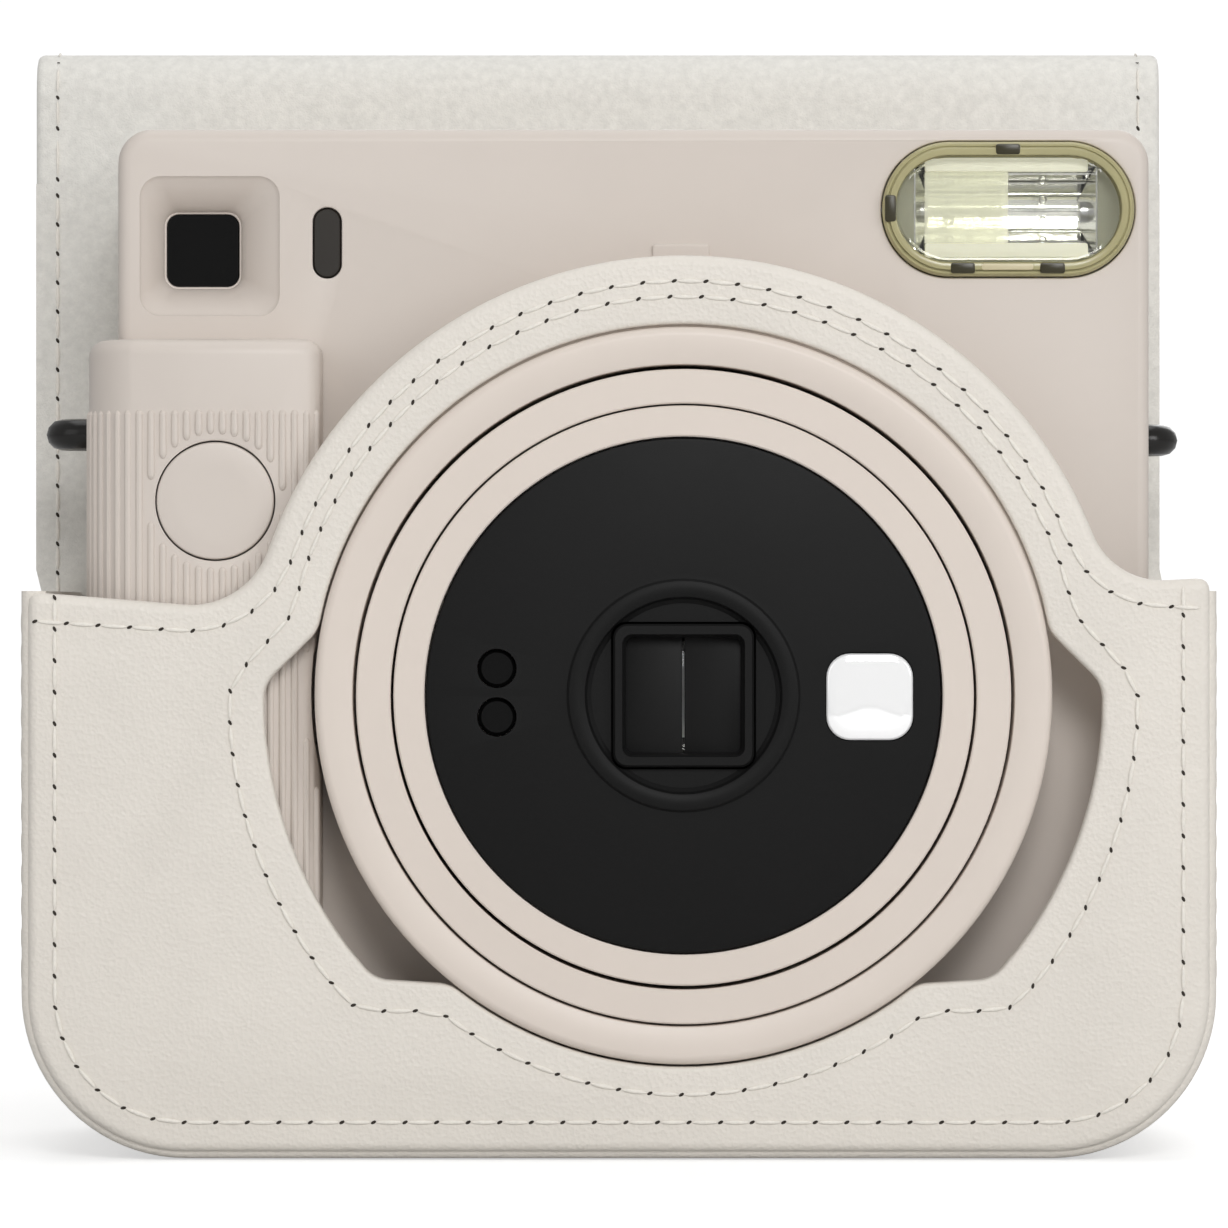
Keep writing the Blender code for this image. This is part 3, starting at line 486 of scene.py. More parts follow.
def lensFace():
    front, low, centre = lensFront + 0.4, lensFront + 2.1, (lensX, lensZ)
    profile = [(0, low), (0, front + 0.7), (11.2, front + 0.7), (11.7, front + 0.35), (12.0, front - 0.35),
               (12.5, front - 0.55), (13.4, front - 0.55), (13.9, front - 0.4), (14.2, front - 0.05),
               (14.9, front), (lens["face"] - 0.5, front), (lens["face"] - 0.15, front + 0.1),
               (lens["face"], front + 0.4), (lens["face"], low)]
    face = turned("lensFace", profile, centre, lens["steps"])
    boolean(face, slab("cutDoors", about(*centre, 17.6, 17.9, 1.8), front - 2, low + 1))
    mirrorX, mirrorZ = lensX + lens["mirror"][0], lensZ + lens["mirror"][1]
    boolean(face, slab("cutMirror", about(mirrorX, mirrorZ, 10.8, 10.8, 3.0), front - 1, front + 1.0))
    for rise in lens["eyeRises"]:
        spot = (lensX - lens["eyes"], lensZ + rise)
        boolean(face, slab("cutSensor", arc(*spot, 2.4, 0, 352.5, 47), front - 1, low + 1))
        window = turned("sensorWindow",
                        [(0, low), (0, front + 0.75), (1.9, front + 0.75), (2.3, front + 1.1), (2.3, low)],
                        spot, 48)
        settle(smooth(window), "barrel_inner", glossBlack,
               "sensor_window_upper" if rise > 0 else "sensor_window_lower")
    settle(smooth(face, 25), "barrel_inner", blackPlastic, "face_plate")
    domed = [(about(mirrorX, mirrorZ, 10.5 - g, 10.5 - g, 2.9 - g * 0.31), front + h) for g, h in (
        (0, 0.9), (0, 0.3), (0.3, 0.1), (0.6, 0.02), (2.6, -0.04), (4.6, -0.085), (6.6, -0.115), (8.6, -0.13))]
    mirror = stacked("selfieMirror", domed)
    settle(smooth(mirror, 25), "barrel_inner", mirrorGlass, "selfie_mirror")
    wide, tall = lens["frame"]
    rim = stepped("doorFrame", centre, (
        (wide, tall, 1.7, low), (wide, tall, 1.7, front - 0.2), (wide - 0.5, tall - 0.5, 1.5, front - 0.6),
        (14.9, 14.9, 1.2, front - 0.6), (14.0, 14.0, 0.9, front + 0.9), (14.0, 14.0, 0.9, low)))
    edit(rim)
    selectFaces(rim, lambda f: len(f.vertices) > 4)
    bpy.ops.mesh.bridge_edge_loops()
    outward(rim)
    settle(smooth(rim, 30), "barrel_inner", blackPlastic, "door_frame")
    for name, node, side in (("doorLeft", "lens_door_left", -1), ("doorRight", "lens_door_right", 1)):
        low, high = boxOf(node)
        leaf = slab(name, roundedBox(low[0], high[0], low[2], high[2], 0.3, 3), low[1], high[1])
        bevelled(leaf, 0.06, 2)
        settle(smooth(leaf), "leaf_left" if side < 0 else "leaf_right", blackPlastic, node)


lensRings()
lensFace()
print("lens is made")

# body shells

shell = {"corner": 4.2, "fillet": 1.7, "split": 2.0, "seam": 0.15, "wall": 2.0}
finder = {"x": -51.0, "z": 111.3, "dishX": -49.9, "dishZ": 111.6, "dish": 17.0, "depth": 4.9, "window": 8.5}
sensor = {"x": -35.4, "z": 112.0, "wide": 3.2, "tall": 8.4}
flash = {"x": 48.65, "z": 116.15, "wide": 31.1, "tall": 16.6, "glassWide": 27.8, "glassTall": 13.1}


def halfShell(name, rim, seam, rear):
    # one half of the hollow body, its outer rim rolled over
    left, right, low, top = bodyLow[0], bodyHigh[0], bodyLow[2], bodyHigh[2]
    outline, wall = roundedBox(left, right, low, top, shell["corner"], 10), shell["wall"]
    skin = slab(name, outline, *sorted((rim, seam)))
    rolledEdge(skin, rim, shell["fillet"])
    hollow = roundedBox(left + wall, right - wall, low + wall, top - wall, 2.4, 6)
    depths = sorted((rim + (-wall if rear else wall), seam + (-1 if rear else 1)))
    return boolean(skin, slab("inside", hollow, *depths))


def softHole(points, level, depth, flare, axis="Y", side=1):
    # a cutter whose mouth flares, so that the cut has a round lip; points(grow) gives the outline
    lip = [(points(flare * (1 - sin(radians(a)))), level + side * flare * (1 - cos(radians(a))))
           for a in range(0, 91, 18)]
    return stacked("softHole", [(points(flare), level - side * 2)] + lip + [(points(0), level + side * depth)], axis)


def softFrame(edges, radius, level, depth, flare, side=1):
    left, right, low, top = edges
    return softHole(lambda grow: roundedBox(left - grow, right + grow, low - grow, top + grow, radius + grow), level,
                    depth, flare, side=side)


def softBox(x, z, wide, tall, radius, level, depth, flare, steps=8, side=1):
    return softHole(lambda grow: about(x, z, wide + 2 * grow, tall + 2 * grow, radius + grow, steps), level, depth,
                    flare, side=side)


def frontShell():
    skin = halfShell("frontShell", bodyFront, shell["split"] - shell["seam"], False)
    dishX, dishZ, depth = finder["dishX"], finder["dishZ"], finder["depth"]
    boss = frontSlab("finderBoss", about(dishX, dishZ, 20, 20, 3), 1, 6.4)
    boolean(skin, boss, "UNION")
    mark = frontSlab("indexMark", roundedBox(4.7, 11.8, 103.0, 111.9, 0.5, 4), -0.45, 1)
    rolledEdge(mark, bodyFront - 0.45, 0.3)
    boolean(skin, mark, "UNION")
    floorX, floorZ, mouth, bottom = finder["x"], finder["z"], finder["dish"], finder["window"] + 0.9
    sections = []
    for share, drop in ((0, 0), (0.012, 0.015), (0.03, 0.04), (0.1, 0.09), (0.25, 0.18), (0.4, 0.29), (0.55, 0.42),
                        (0.7, 0.57), (0.82, 0.71), (0.92, 0.85), (1, 1)):
        # a crisp lip, then walls that steepen toward the window
        size = mouth + 0.3 + (bottom - mouth - 0.3) * share
        x, z = dishX + (floorX - dishX) * share, dishZ + (floorZ - dishZ) * share
        sections.append((about(x, z, size, size, 2.6 - 1.0 * share), bodyFront + depth * drop))
    sections[0] = (sections[0][0], bodyFront - 0.002)
    boolean(skin, stacked("dish", [(sections[0][0], bodyFront - 1)] + sections))
    pane = finder["window"] + 0.5
    boolean(skin, softBox(floorX, floorZ, pane, pane, 1.5, bodyFront + depth, 4, 0.25))
    boolean(skin, softBox(sensor["x"], sensor["z"], sensor["wide"] + 0.4, sensor["tall"] + 0.4, 1.79,
                          bodyFront, 5, 0.2))
    boolean(skin, frontSlab("lensRoom", arc(lensX, lensZ, 40.1, 0, 357, 119), -2, 4))
    boolean(skin, softBox(flash["x"], flash["z"], flash["wide"] + 0.3, flash["tall"] + 0.3, 8.4,
                          bodyFront, 5, 0.25, 16))
    settle(smooth(skin, 40), "camera", shellPlastic, "front_shell")
    window = stepped("finderWindow", (floorX, floorZ), (
        (8.8, 8.8, 1.3, bodyFront + 6.2), (8.8, 8.8, 1.3, bodyFront + 5.0), (8.7, 8.7, 1.25, bodyFront + 4.93)))
    settle(smooth(window, 25), "camera", glossBlack, "viewfinder_window")
    pill = stepped("sensorWindow", (sensor["x"], sensor["z"]), (
        (3.3, 8.5, 1.64, bodyFront + 1.8), (3.3, 8.5, 1.64, bodyFront + 0.35), (3.0, 8.2, 1.49, bodyFront + 0.15)))
    settle(smooth(pill, 25), "camera", sensorTone, "light_sensor_window")


door = {"left": -40.6, "right": 57.4, "low": 14.0, "top": 109.0, "gap": 0.25, "wall": 2.0}
hatch = {"left": -58.0, "right": -44.0, "low": 20.0, "top": 62.0}
edgeNames = ("left", "right", "low", "top")
hingeAt = (20.9, 13.0)
screwsAt = ((-56.0, 96.0), (60.5, 96.0))


def rearShell():
    back = bodyBack
    skin = halfShell("rearShell", back, shell["split"] + shell["seam"], True)
    boolean(skin, softFrame([door[edge] for edge in edgeNames], 4, back, 4, 0.3, -1))
    boolean(skin, slab("knuckleRoom", roundedBox(-31, 48, 11, 15, 0.4, 3), back - 4, back + 3))
    boolean(skin, softFrame([hatch[edge] for edge in edgeNames], 2, back, 4, 0.3, -1))
    boolean(skin, slab("eyeRoom", about(finder["x"], finder["z"], 12.5, 12.5, 2.2), back - 4, back + 3))
    boolean(skin, slab("filmSlot", roundedBox(lensX - 38, lensX + 38, 6.3, 9.7, 1.2, 5),
                       bodyHigh[2] - 4, bodyHigh[2] + 2, "Z"))
    for x, z in screwsAt:
        boolean(skin, turned("screwRoom", [(0, back - 5), (1.9, back - 5), (1.9, back - 0.2), (2.2, back + 0.1),
                                           (2.2, back + 2), (0, back + 2)], (x, z), 40))
    settle(smooth(skin, 40), "camera", shellPlastic, "rear_shell")
    for (x, z), node in zip(screwsAt, ("screw_left", "screw_right")):
        head = turned("screwHead", [(0, 13), (0.8, 13), (0.8, back - 0.9), (1.6, back - 0.9), (1.6, back - 0.4),
                                    (1.4, back - 0.2), (0, back - 0.12)], (x, z), 32)
        for turn in (0, 90):
            slot = slab("cross", about(0, 0, 1.9, 0.36, 0.1, 2), back - 0.7, back + 1)
            slot.data.transform(Matrix.Translation((x * mm, 0, z * mm)) @ Matrix.Rotation(radians(turn + 20), 4, "Y"))
            boolean(head, slot)
        settle(smooth(head, 30), "camera", steelTone, node)


def refined(node, body, finish, width, segments=3, angle=50):
    # the frame's own shape with its edges eased
    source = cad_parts[node]
    obj = source.copy()
    obj.data = source.data.copy()
    obj.name = obj.data.name = "fine" + node.title().replace("_", "")
    bpy.context.collection.objects.link(obj)
    bpy.context.view_layer.update()
    obj.data.transform(source.matrix_world)
    obj.parent = None
    obj.matrix_world = Matrix.Identity(4)
    outward(obj)
    deselectAll()
    pick(obj)
    bevelled(obj, width, segments, angle)
    return settle(smooth(obj, 40), body, finish, node)


def filmDoor():
    back, gap = bodyBack, door["gap"]
    left, right, low, top = door["left"] + gap, door["right"] - gap, door["low"] + 1.2, door["top"] - gap
    panelDoor = slab("filmDoor", roundedBox(left, right, low, top, 3.7, 8), back - door["wall"], back)
    rolledEdge(panelDoor, back, 0.6)
    web = roundedBox(-30, 47, hingeAt[1] + 0.9, 16, 0.2, 2)
    boolean(panelDoor, slab("web", web, back - 1.2, back - 0.05), "UNION")
    knuckle = slab("knuckle", arc(hingeAt[0], hingeAt[1], 1.5, 0, 345, 23), -30, 47, "X")
    boolean(panelDoor, knuckle, "UNION")
    boolean(panelDoor, slab("bore", arc(hingeAt[0], hingeAt[1], 1.05, 0, 345, 23), -32, 49, "X"))
    boolean(panelDoor, softFrame((lensX - 9, lensX + 9, 94.5, 104.5), 2, back, 1.1, 0.3, -1))
    boolean(panelDoor, softBox(lensX + 32, 30, 10, 6, 2, back, 1.1, 0.3, side=-1))
    settle(smooth(panelDoor, 40), "back_door", shellPlastic, "film_door")
    grab = slab("doorLatch", roundedBox(lensX - 8.5, lensX + 8.5, 99, 104, 1.6, 6), back - 0.8, back + 1.2)
    rolledEdge(grab, back + 1.2, 0.6)
    for k in range(-4, 5):
        groove = slab("groove", arc(back + 1.35, 101.5 + k * 0.42, 0.16, 0, 330, 11), lensX - 6, lensX + 6, "X")
        boolean(grab, groove)
    settle(smooth(grab, 40), "latch", shellPlastic, "door_latch")
    refined("counter_window", "back_door", glossBlack, 0.25)
    left, right, low, top = (hatch[edge] for edge in edgeNames)
    lid = slab("batteryDoor", roundedBox(left + 0.3, right - 0.3, low + 0.3, top - 0.3, 1.7, 6), back - 2, back)
    rolledEdge(lid, back, 0.5)
    for k in range(5):
        boolean(lid, slab("groove", arc(back + 0.1, 53 + k * 1.3, 0.35, 0, 330, 11), left + 4, right - 3, "X"))
    settle(smooth(lid, 40), "battery_hatch", shellPlastic, "battery_door")
    refined("viewfinder_eyepiece", "camera", blackPlastic, 0.5)


frontShell()
rearShell()
filmDoor()
print("body shells are made")

# grip and shutter button

grip = {"left": -64.6, "right": -35.9, "low": 10.0, "top": 99.8, "front": -33.0, "rear": -8.0, "cap": 2.0,
        "wall": 2.0, "ribPitch": 1.47, "ribRadius": 0.52, "ribSunk": 0.12, "ribTop": 90.9,
        "buttonRoom": 8.3, "ringRoom": 45.4}
button = {"x": -48.6, "z": 80.0, "radius": 7.14, "gap": 0.2}


def gripPlan(inset):
    # seen from above: round the left side, across the gently crowned front, back along the right
    left, right, front = grip["left"] + inset, grip["right"] - inset, grip["front"] + inset
    side = arc(left + 9, front + 9, 9, 180, 250, 16)
    crown = [(left + 14, front), (right - 8, front)]
    corner = arc(right - 2.5, front + 3, 2.5, -80, 0, 8)
    return [(left, grip["rear"])] + side + crown + corner + [(right, bodyFront - 0.3)]


def capsule(name, radius, length, spot):
    deselectAll()
    bpy.ops.mesh.primitive_uv_sphere_add(segments=10, ring_count=8, radius=radius * mm)
    rib = bpy.context.object
    rib.name = name
    for vert in rib.data.vertices:
        vert.co.z = vert.co.z * 1.6 + (length * mm if vert.co.z > 1e-6 else 0)
        vert.co += Vector(spot) * mm
    return rib


def gripRibs():
    # half-round ribs down the front and round the side, stopping round the button and at the lens ring
    plan = gripPlan(grip["ribSunk"])[1:-1]
    made = []
    for x, y in walk(plan, grip["ribPitch"])[:-1]:
        spans = [(grip["low"] + 1.0, grip["ribTop"])]
        for centreX, centreZ, room in ((button["x"], button["z"], grip["buttonRoom"]),
                                       (lensX, lensZ, grip["ringRoom"] + 0.9)):
            if y > grip["front"] + 4.5 and centreX == button["x"] or abs(x - centreX) >= room:
                continue
            half = (room ** 2 - (x - centreX) ** 2) ** 0.5
            cutSpans = []
            for low, high in spans:
                cutSpans += [(low, min(high, centreZ - half)), (max(low, centreZ + half), high)]
            spans = [(low, high) for low, high in cutSpans if high - low > 1.4]
        for low, high in spans:
            made.append(capsule("rib", grip["ribRadius"], high - low - 1.2, (x, y, low + 0.6)))
    return made


def makeGrip():
    reach = [(bodyLow[0] - 0.3, bodyFront - 0.3), (bodyLow[0] - 0.3, grip["rear"])]
    cover = slab("gripCover", gripPlan(0) + reach, grip["low"], grip["top"], "Z")
    rolledEdge(cover, grip["top"], grip["cap"], 2,
               lambda spot: spot.y < bodyFront - 0.5 or spot.x < grip["left"] + 0.1)
    inner = gripPlan(grip["wall"])
    inner = [(inner[0][0], grip["rear"] - grip["wall"])] + inner[1:] + [(bodyLow[0] + 2, bodyFront + 2),
                                                                        (bodyLow[0] + 2, grip["rear"] - grip["wall"])]
    boolean(cover, slab("inside", inner, grip["low"] - 1, grip["top"] - 3, "Z"))
    room = arc(lensX, lensZ, grip["ringRoom"], 0, 357, 119)
    boolean(cover, slab("ringRoom", room, grip["front"] - 5, bodyFront + 1))
    spot, radius = (button["x"], button["z"]), button["radius"] + button["gap"]
    cutter = softHole(lambda grow: arc(*spot, radius + grow, 0, 356.25, 95), grip["front"], 4, 0.18)
    boolean(cover, cutter)
    smooth(cover, 40)
    whole = joined("gripCover", [cover] + gripRibs())
    settle(whole, "camera", shellPlastic, "grip_cover")
    front = grip["front"] - 0.1
    cap = turned("shutterButton", [(0, front + 3.3), (0, front + 0.05), (4.0, front + 0.02), (6.75, front),
                                   (7.0, front + 0.07), (button["radius"], front + 0.3),
                                   (button["radius"], front + 3.3)], spot, 96)
    settle(smooth(cap, 30), "button", shellPlastic, "shutter_button")


# strap lugs

lug = {"rod": 1.95, "reachY": 2.95, "bend": 2.95}


def rod(name, path, radius):
    # round wire along a path of points, as a mesh
    curve = bpy.data.curves.new(name, "CURVE")
    curve.dimensions, curve.bevel_depth, curve.bevel_resolution = "3D", radius * mm, 4
    curve.use_fill_caps = True
    line = curve.splines.new("POLY")
    line.points.add(len(path) - 1)
    for point, spot in zip(line.points, path):
        point.co = (*[c * mm for c in spot], 1)
    wire = bpy.data.objects.new(name, curve)
    bpy.context.collection.objects.link(wire)
    pick(wire)
    bpy.ops.object.convert(target="MESH")
    return smooth(bpy.context.object, 60)


spring = {"radius": 2.6, "wire": 0.28, "turns": 7, "rear": -22.6, "front": -29.4}


def buttonSpring():
    # a coil between the body and the button
    steps = spring["turns"] * 20
    path = []
    for k in range(steps + 1):
        turn, share = 2 * pi * spring["turns"] * k / steps, k / steps
        path.append((button["x"] + spring["radius"] * cos(turn),
                     spring["rear"] + (spring["front"] - spring["rear"]) * share,
                     button["z"] + spring["radius"] * sin(turn)))
    coil = rod("buttonCoil", path, spring["wire"])
    coil.data.materials.append(steelTone)
    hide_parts("button_spring")
    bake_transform(coil)


def strapLug(name, node, root, tip, z):
    # a bent loop of round rod, both ends run into the body
    side = 1 if tip > root else -1
    turn = tip - side * (lug["rod"] + lug["bend"])
    path = [(root - side * 1.5, -lug["reachY"]), (turn, -lug["reachY"])]
    path += [(turn + side * lug["bend"] * sin(radians(a)), -lug["bend"] * cos(radians(a)))
             for a in range(15, 180, 15)]
    path += [(turn, lug["reachY"]), (root - side * 1.5, lug["reachY"])]
    loop = rod(name, [(x, y, z) for x, y in path], lug["rod"])
    settle(loop, "camera", lugRubber, node)


makeGrip()
buttonSpring()
strapLug("lugLeft", "strap_lug_left", bodyLow[0] - 0.3, -71.8, 88.85)
strapLug("lugRight", "strap_lug_right", bodyHigh[0] + 0.3, 71.3, 88.15)
print("grip and lugs are made")

# flash

tube = {"split": 48.7, "left": 37.1, "right": 59.8, "depth": 6.6, "mouth": 2.4, "halfTall": 5.45, "lamp": 6.4,
        "flutes": (-62, -44, -24, 24, 44, 62)}


def easedBlock(name, box, depth):
    left, right, low, high = box
    piece = frontSlab(name, roundedBox(left, right, low, high, 0.3, 3), *depth)
    return bevelled(piece, 0.12, 2, 60)


def flashUnit():
    x, z, wide, tall = flash["x"], flash["z"], flash["wide"], flash["tall"]
    glassWide, glassTall = flash["glassWide"], flash["glassTall"]
    outline = lambda grow: about(x, z, wide - 2 * grow, tall - 2 * grow, 8.29 - grow, 20)
    inside = lambda grow: about(x, z, glassWide + 2 * grow, glassTall + 2 * grow, 6.54 + grow, 20)
    # a hollow-sectioned frame: round shoulder, a fine step, then the inner wall
    rows = [(outline, 0, 2.4), (outline, 0, -0.5), (outline, 0.1, -0.8), (outline, 0.32, -1.0), (outline, 0.55, -1.0),
            (outline, 0.6, -0.8), (outline, 0.75, -0.8), (outline, 0.8, -1.25), (inside, 0.35, -1.3),
            (inside, 0.1, -1.2), (inside, 0, -1.0), (inside, 0, 2.4)]
    ring = stacked("flashBezel", [(shape(grow), bodyFront + depth) for shape, grow, depth in rows])
    edit(ring)
    selectFaces(ring, lambda f: len(f.vertices) > 8)
    bpy.ops.mesh.bridge_edge_loops()
    outward(ring)
    settle(smooth(ring, 35), "camera", amberPlastic, "flash_bezel")
    pane = stacked("flashWindow", [(inside(-0.25), bodyFront + 0.1), (inside(-0.25), bodyFront - 0.95),
                                   (inside(-0.5), bodyFront - 1.1)])
    settle(smooth(pane, 30), "camera", clearGlass, "flash_window")
    left, right, split, deep = tube["left"], tube["right"], tube["split"], tube["depth"]
    # the trough: a curved back between two flat slanted ends
    mouth, halfTall = bodyFront + tube["mouth"], tube["halfTall"]
    back = [(mouth + deep * sin(radians(a)), z + halfTall * cos(radians(a))) for a in range(0, 181, 9)]
    outer = [(u + (0.5 if 0 < k < len(back) - 1 else 0), z + (v - z) * 1.06) for k, (u, v) in enumerate(back)]
    trough = slab("reflector", back + outer[::-1], left, right, "X")
    ends = []
    for edge, lean in ((left, 1), (right, -1)):
        end = slab("reflectorEnd", [(mouth, z - halfTall), (mouth + deep, z - 1.6), (mouth + deep, z + 1.6),
                                    (mouth, z + halfTall)], edge - 0.2, edge + 0.2, "X")
        for vert in end.data.vertices:
            vert.co.x += lean * (vert.co.y / mm - mouth) * 0.28 * mm
        ends.append(end)
    ribs = []
    for a in tube["flutes"]:
        u, v = mouth + deep * cos(radians(a)) * 0.97, z + halfTall * sin(radians(a)) * 0.97
        ribs.append(slab("flute", arc(u, v, 0.14, 0, 315, 7), split + 0.3, right - 0.4, "X"))
    mirror = joined("flashReflector", [trough] + ends + ribs)
    settle(smooth(mirror, 35), "camera", flashMirror, "flash_reflector")
    lamp = bodyFront + tube["lamp"]
    lampTube = slab("flashTube", arc(lamp, z, 1.15, 0, 345, 23), left + 1.4, right - 1.4, "X")
    caps = [slab("tubeEnd", arc(lamp, z, 1.3, 0, 345, 23), at, at + 1.3, "X")
            for at in (left + 0.6, right - 1.9)]
    settle(smooth(lampTube, 40), "camera", clearGlass, "flash_tube")
    metal = joined("tubeEnds", caps)
    settle(smooth(metal, 40), "camera", steelTone)
    # frosted sheet over the left half, ruled both ways
    screen = frontSlab("diffuser", roundedBox(left + 1.3, split, z - 4.2, z + 4.7, 0.2, 2), 1.5, 1.8)
    across = [(left + 1.5, split - 0.1, z - 3.8 + k * 0.62, z - 3.66 + k * 0.62, 0.05, 2) for k in range(14)]
    upright = [(left + 2 + k * 0.8, left + 2.1 + k * 0.8, z - 4.1, z + 4.6, 0.04, 2) for k in range(12)]
    rules = [frontSlab("rule", roundedBox(*edges), 1.42, 1.6) for edges in across + upright]
    screen = joined("diffuser", [screen] + rules)
    settle(smooth(screen, 40), "camera", frosted)
    bars = [easedBlock("bar", (left + 1.3, right - 1.3, z + 4.65, z + 6.3), (0.5, 1.9)),
            easedBlock("bar", (left + 1.3, right - 1.3, z - 5.95, z - 4.15), (0.5, 1.9))]
    settle(smooth(joined("creamBars", bars), 40), "camera", creamPlastic)
    plate = frontSlab("flashBed", about(x, z, glassWide + 0.2, glassTall + 0.2, 6.6, 20), 1.95, 2.35)
    boolean(plate, frontSlab("cutBed", roundedBox(left, right, z - 5.4, z + 5.4, 0.4, 3), 1, 4))
    settle(smooth(plate, 30), "camera", bedTone)
    cups = [turned("cup", [(0, 1.2), (0, 0.9), (0.35, 0.85), (0.5, 0.5), (0.68, 0.5), (0.68, 1.2)],
                   (at, z + rise), 20) for at in (41.4, 53.0) for rise in (-3.7, -1.3, 1.3, 3.7)]
    for cup in cups:
        cup.data.transform(Matrix.Translation((0, (bodyFront + 1.3) * mm, 0)))
    settle(smooth(joined("reflectorCups", cups), 40), "camera", clearGlass)
    tan = easedBlock("tanBar", (45.3, 51.7, z - 7.55, z - 6.75), (-1.36, -0.9))
    settle(smooth(tan, 40), "camera", tanPlastic)
    clips = [easedBlock("clip", box, (-1.36, -0.9)) for box in (
        (47.05, 50.07, z + 6.7, z + 8.0), (41.5, 44.5, z - 7.95, z - 6.65), (52.5, 55.6, z - 7.95, z - 6.65),
        (33.4, 34.75, z - 1.6, z + 1.7))]
    settle(smooth(joined("bezelClips", clips), 40), "camera", clipTone)


flashUnit()
print("flash is made")

# sewing

stitch = {"pitch": 3.85, "thread": 0.27, "hole": 0.32, "gap": 0.6}


def ball(name, size, spot, turn, finish):
    deselectAll()
    bpy.ops.mesh.primitive_uv_sphere_add(segments=8, ring_count=6, radius=1)
    obj = bpy.context.object
    obj.name = name
    place = Matrix.Translation([c * mm for c in spot])
    obj.data.transform(place @ turn @ Matrix.Diagonal((*[s * mm for s in size], 1)))
    obj.data.materials.append(finish)
    return obj


def sewn(name, points, toSpace, closed=False, faint=False):
    # threads along a path, with flat dark discs of painted shade at the needle holes; toSpace turns (u, v, height)
    # into x, y, z
    holes = walk(points, stitch["pitch"], closed)
    pairs = list(zip(holes, holes[1:] + holes[:1])) if closed else list(zip(holes, holes[1:]))
    thread, hole = stitch["thread"], stitch["hole"]
    made = []
    for a, b in pairs:
        middle, length = ((a[0] + b[0]) / 2, (a[1] + b[1]) / 2), hypot(b[0] - a[0], b[1] - a[1])
        along = (Vector(toSpace(*b, 0)) - Vector(toSpace(*a, 0))).normalized()
        out = (Vector(toSpace(*middle, 1)) - Vector(toSpace(*middle, 0))).normalized()
        side = out.cross(along)
        turn = Matrix((along, side, out)).transposed().to_4x4()
        made.append(ball("thread", ((length - stitch["gap"]) / 2, thread * (0.6 if faint else 1), thread * 0.7),
                         toSpace(*middle, 0.09), turn, threadTone))
        # a flat dark disc at each needle hole: painted shade of the hole
        slant = turn @ Matrix.Rotation(radians(28), 4, "Z")
        made.append(ball("hole", (hole * 1.15, hole * 0.62, 0.05), toSpace(*a, 0.03), slant, needleHoleShade))
    return smooth(joined(name, made), 80)


def caseSeam(name, points, toSpace, closed=False):
    seam = sewn(name, points, toSpace, closed)
    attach(seam, "camera")


# case front

panel = {"front": -36.4, "thick": 2.5, "roll": 1.25, "openingRoll": 0.6, "sideInset": 0.9, "arch": 53.5,
         "corner": 20.0, "opening": 45.1, "window": 51.0, "leftStep": (67.3, 10), "rightStep": (70.3, 9),
         "seam": (4.2, 4.5), "seamTurn": 15.5}


def stepArc(level, blend, side, radius):
    across = side * ((radius + blend) ** 2 - (level + blend - lensZ) ** 2) ** 0.5
    turn = 180 - degrees(asin((level + blend - lensZ) / (radius + blend)))
    return (lensX + across, level + blend), turn


def topEdge(drop, steps=14):
    # the panel's top edge, or a line drop millimetres inside it
    left, leftBlend = panel["leftStep"][0] - drop, panel["leftStep"][1] + drop
    right, rightBlend = panel["rightStep"][0] - drop, panel["rightStep"][1] + drop
    radius = panel["arch"] - drop
    (lx, lz), turn = stepArc(left, leftBlend, -1, radius)
    (rx, rz), rightTurn = stepArc(right, rightBlend, 1, radius)
    points = arc(lx, lz, leftBlend, -90, turn - 180, steps)
    points += arc(lensX, lensZ, radius, turn, 180 - rightTurn, 72)[1:-1]
    return points + arc(rx, rz, rightBlend, 360 - rightTurn, 270, steps)


def openingLoop(grow, corner=4.5):
    # hugs the ring above and below and widens at the two side windows
    near, far = panel["opening"] + grow, panel["window"] + grow * 1.25
    lean = grow * 0.55
    points, sizes = [], []
    for radius, start, stop, steps in ((near, 10 + lean, 170 - lean, 60), (far, 178.5, 222.5 + lean * 0.8, 16),
                                       (near, 231 + lean * 0.6, 309 - lean * 0.6, 32),
                                       (far, 317.5 - lean * 0.8, 361.5, 16)):
        part = arc(lensX, lensZ, radius, start, stop, steps)
        points += part
        sizes += [corner] + [0] * (len(part) - 2) + [corner]
    # only the corners are rounded: drop neighbours that the rounding reaches
    keep = [i for i in range(len(points)) if sizes[i] or not (sizes[i - 1] or sizes[(i + 1) % len(points)])]
    return softened([points[i] for i in keep], [sizes[i] for i in keep], 8)


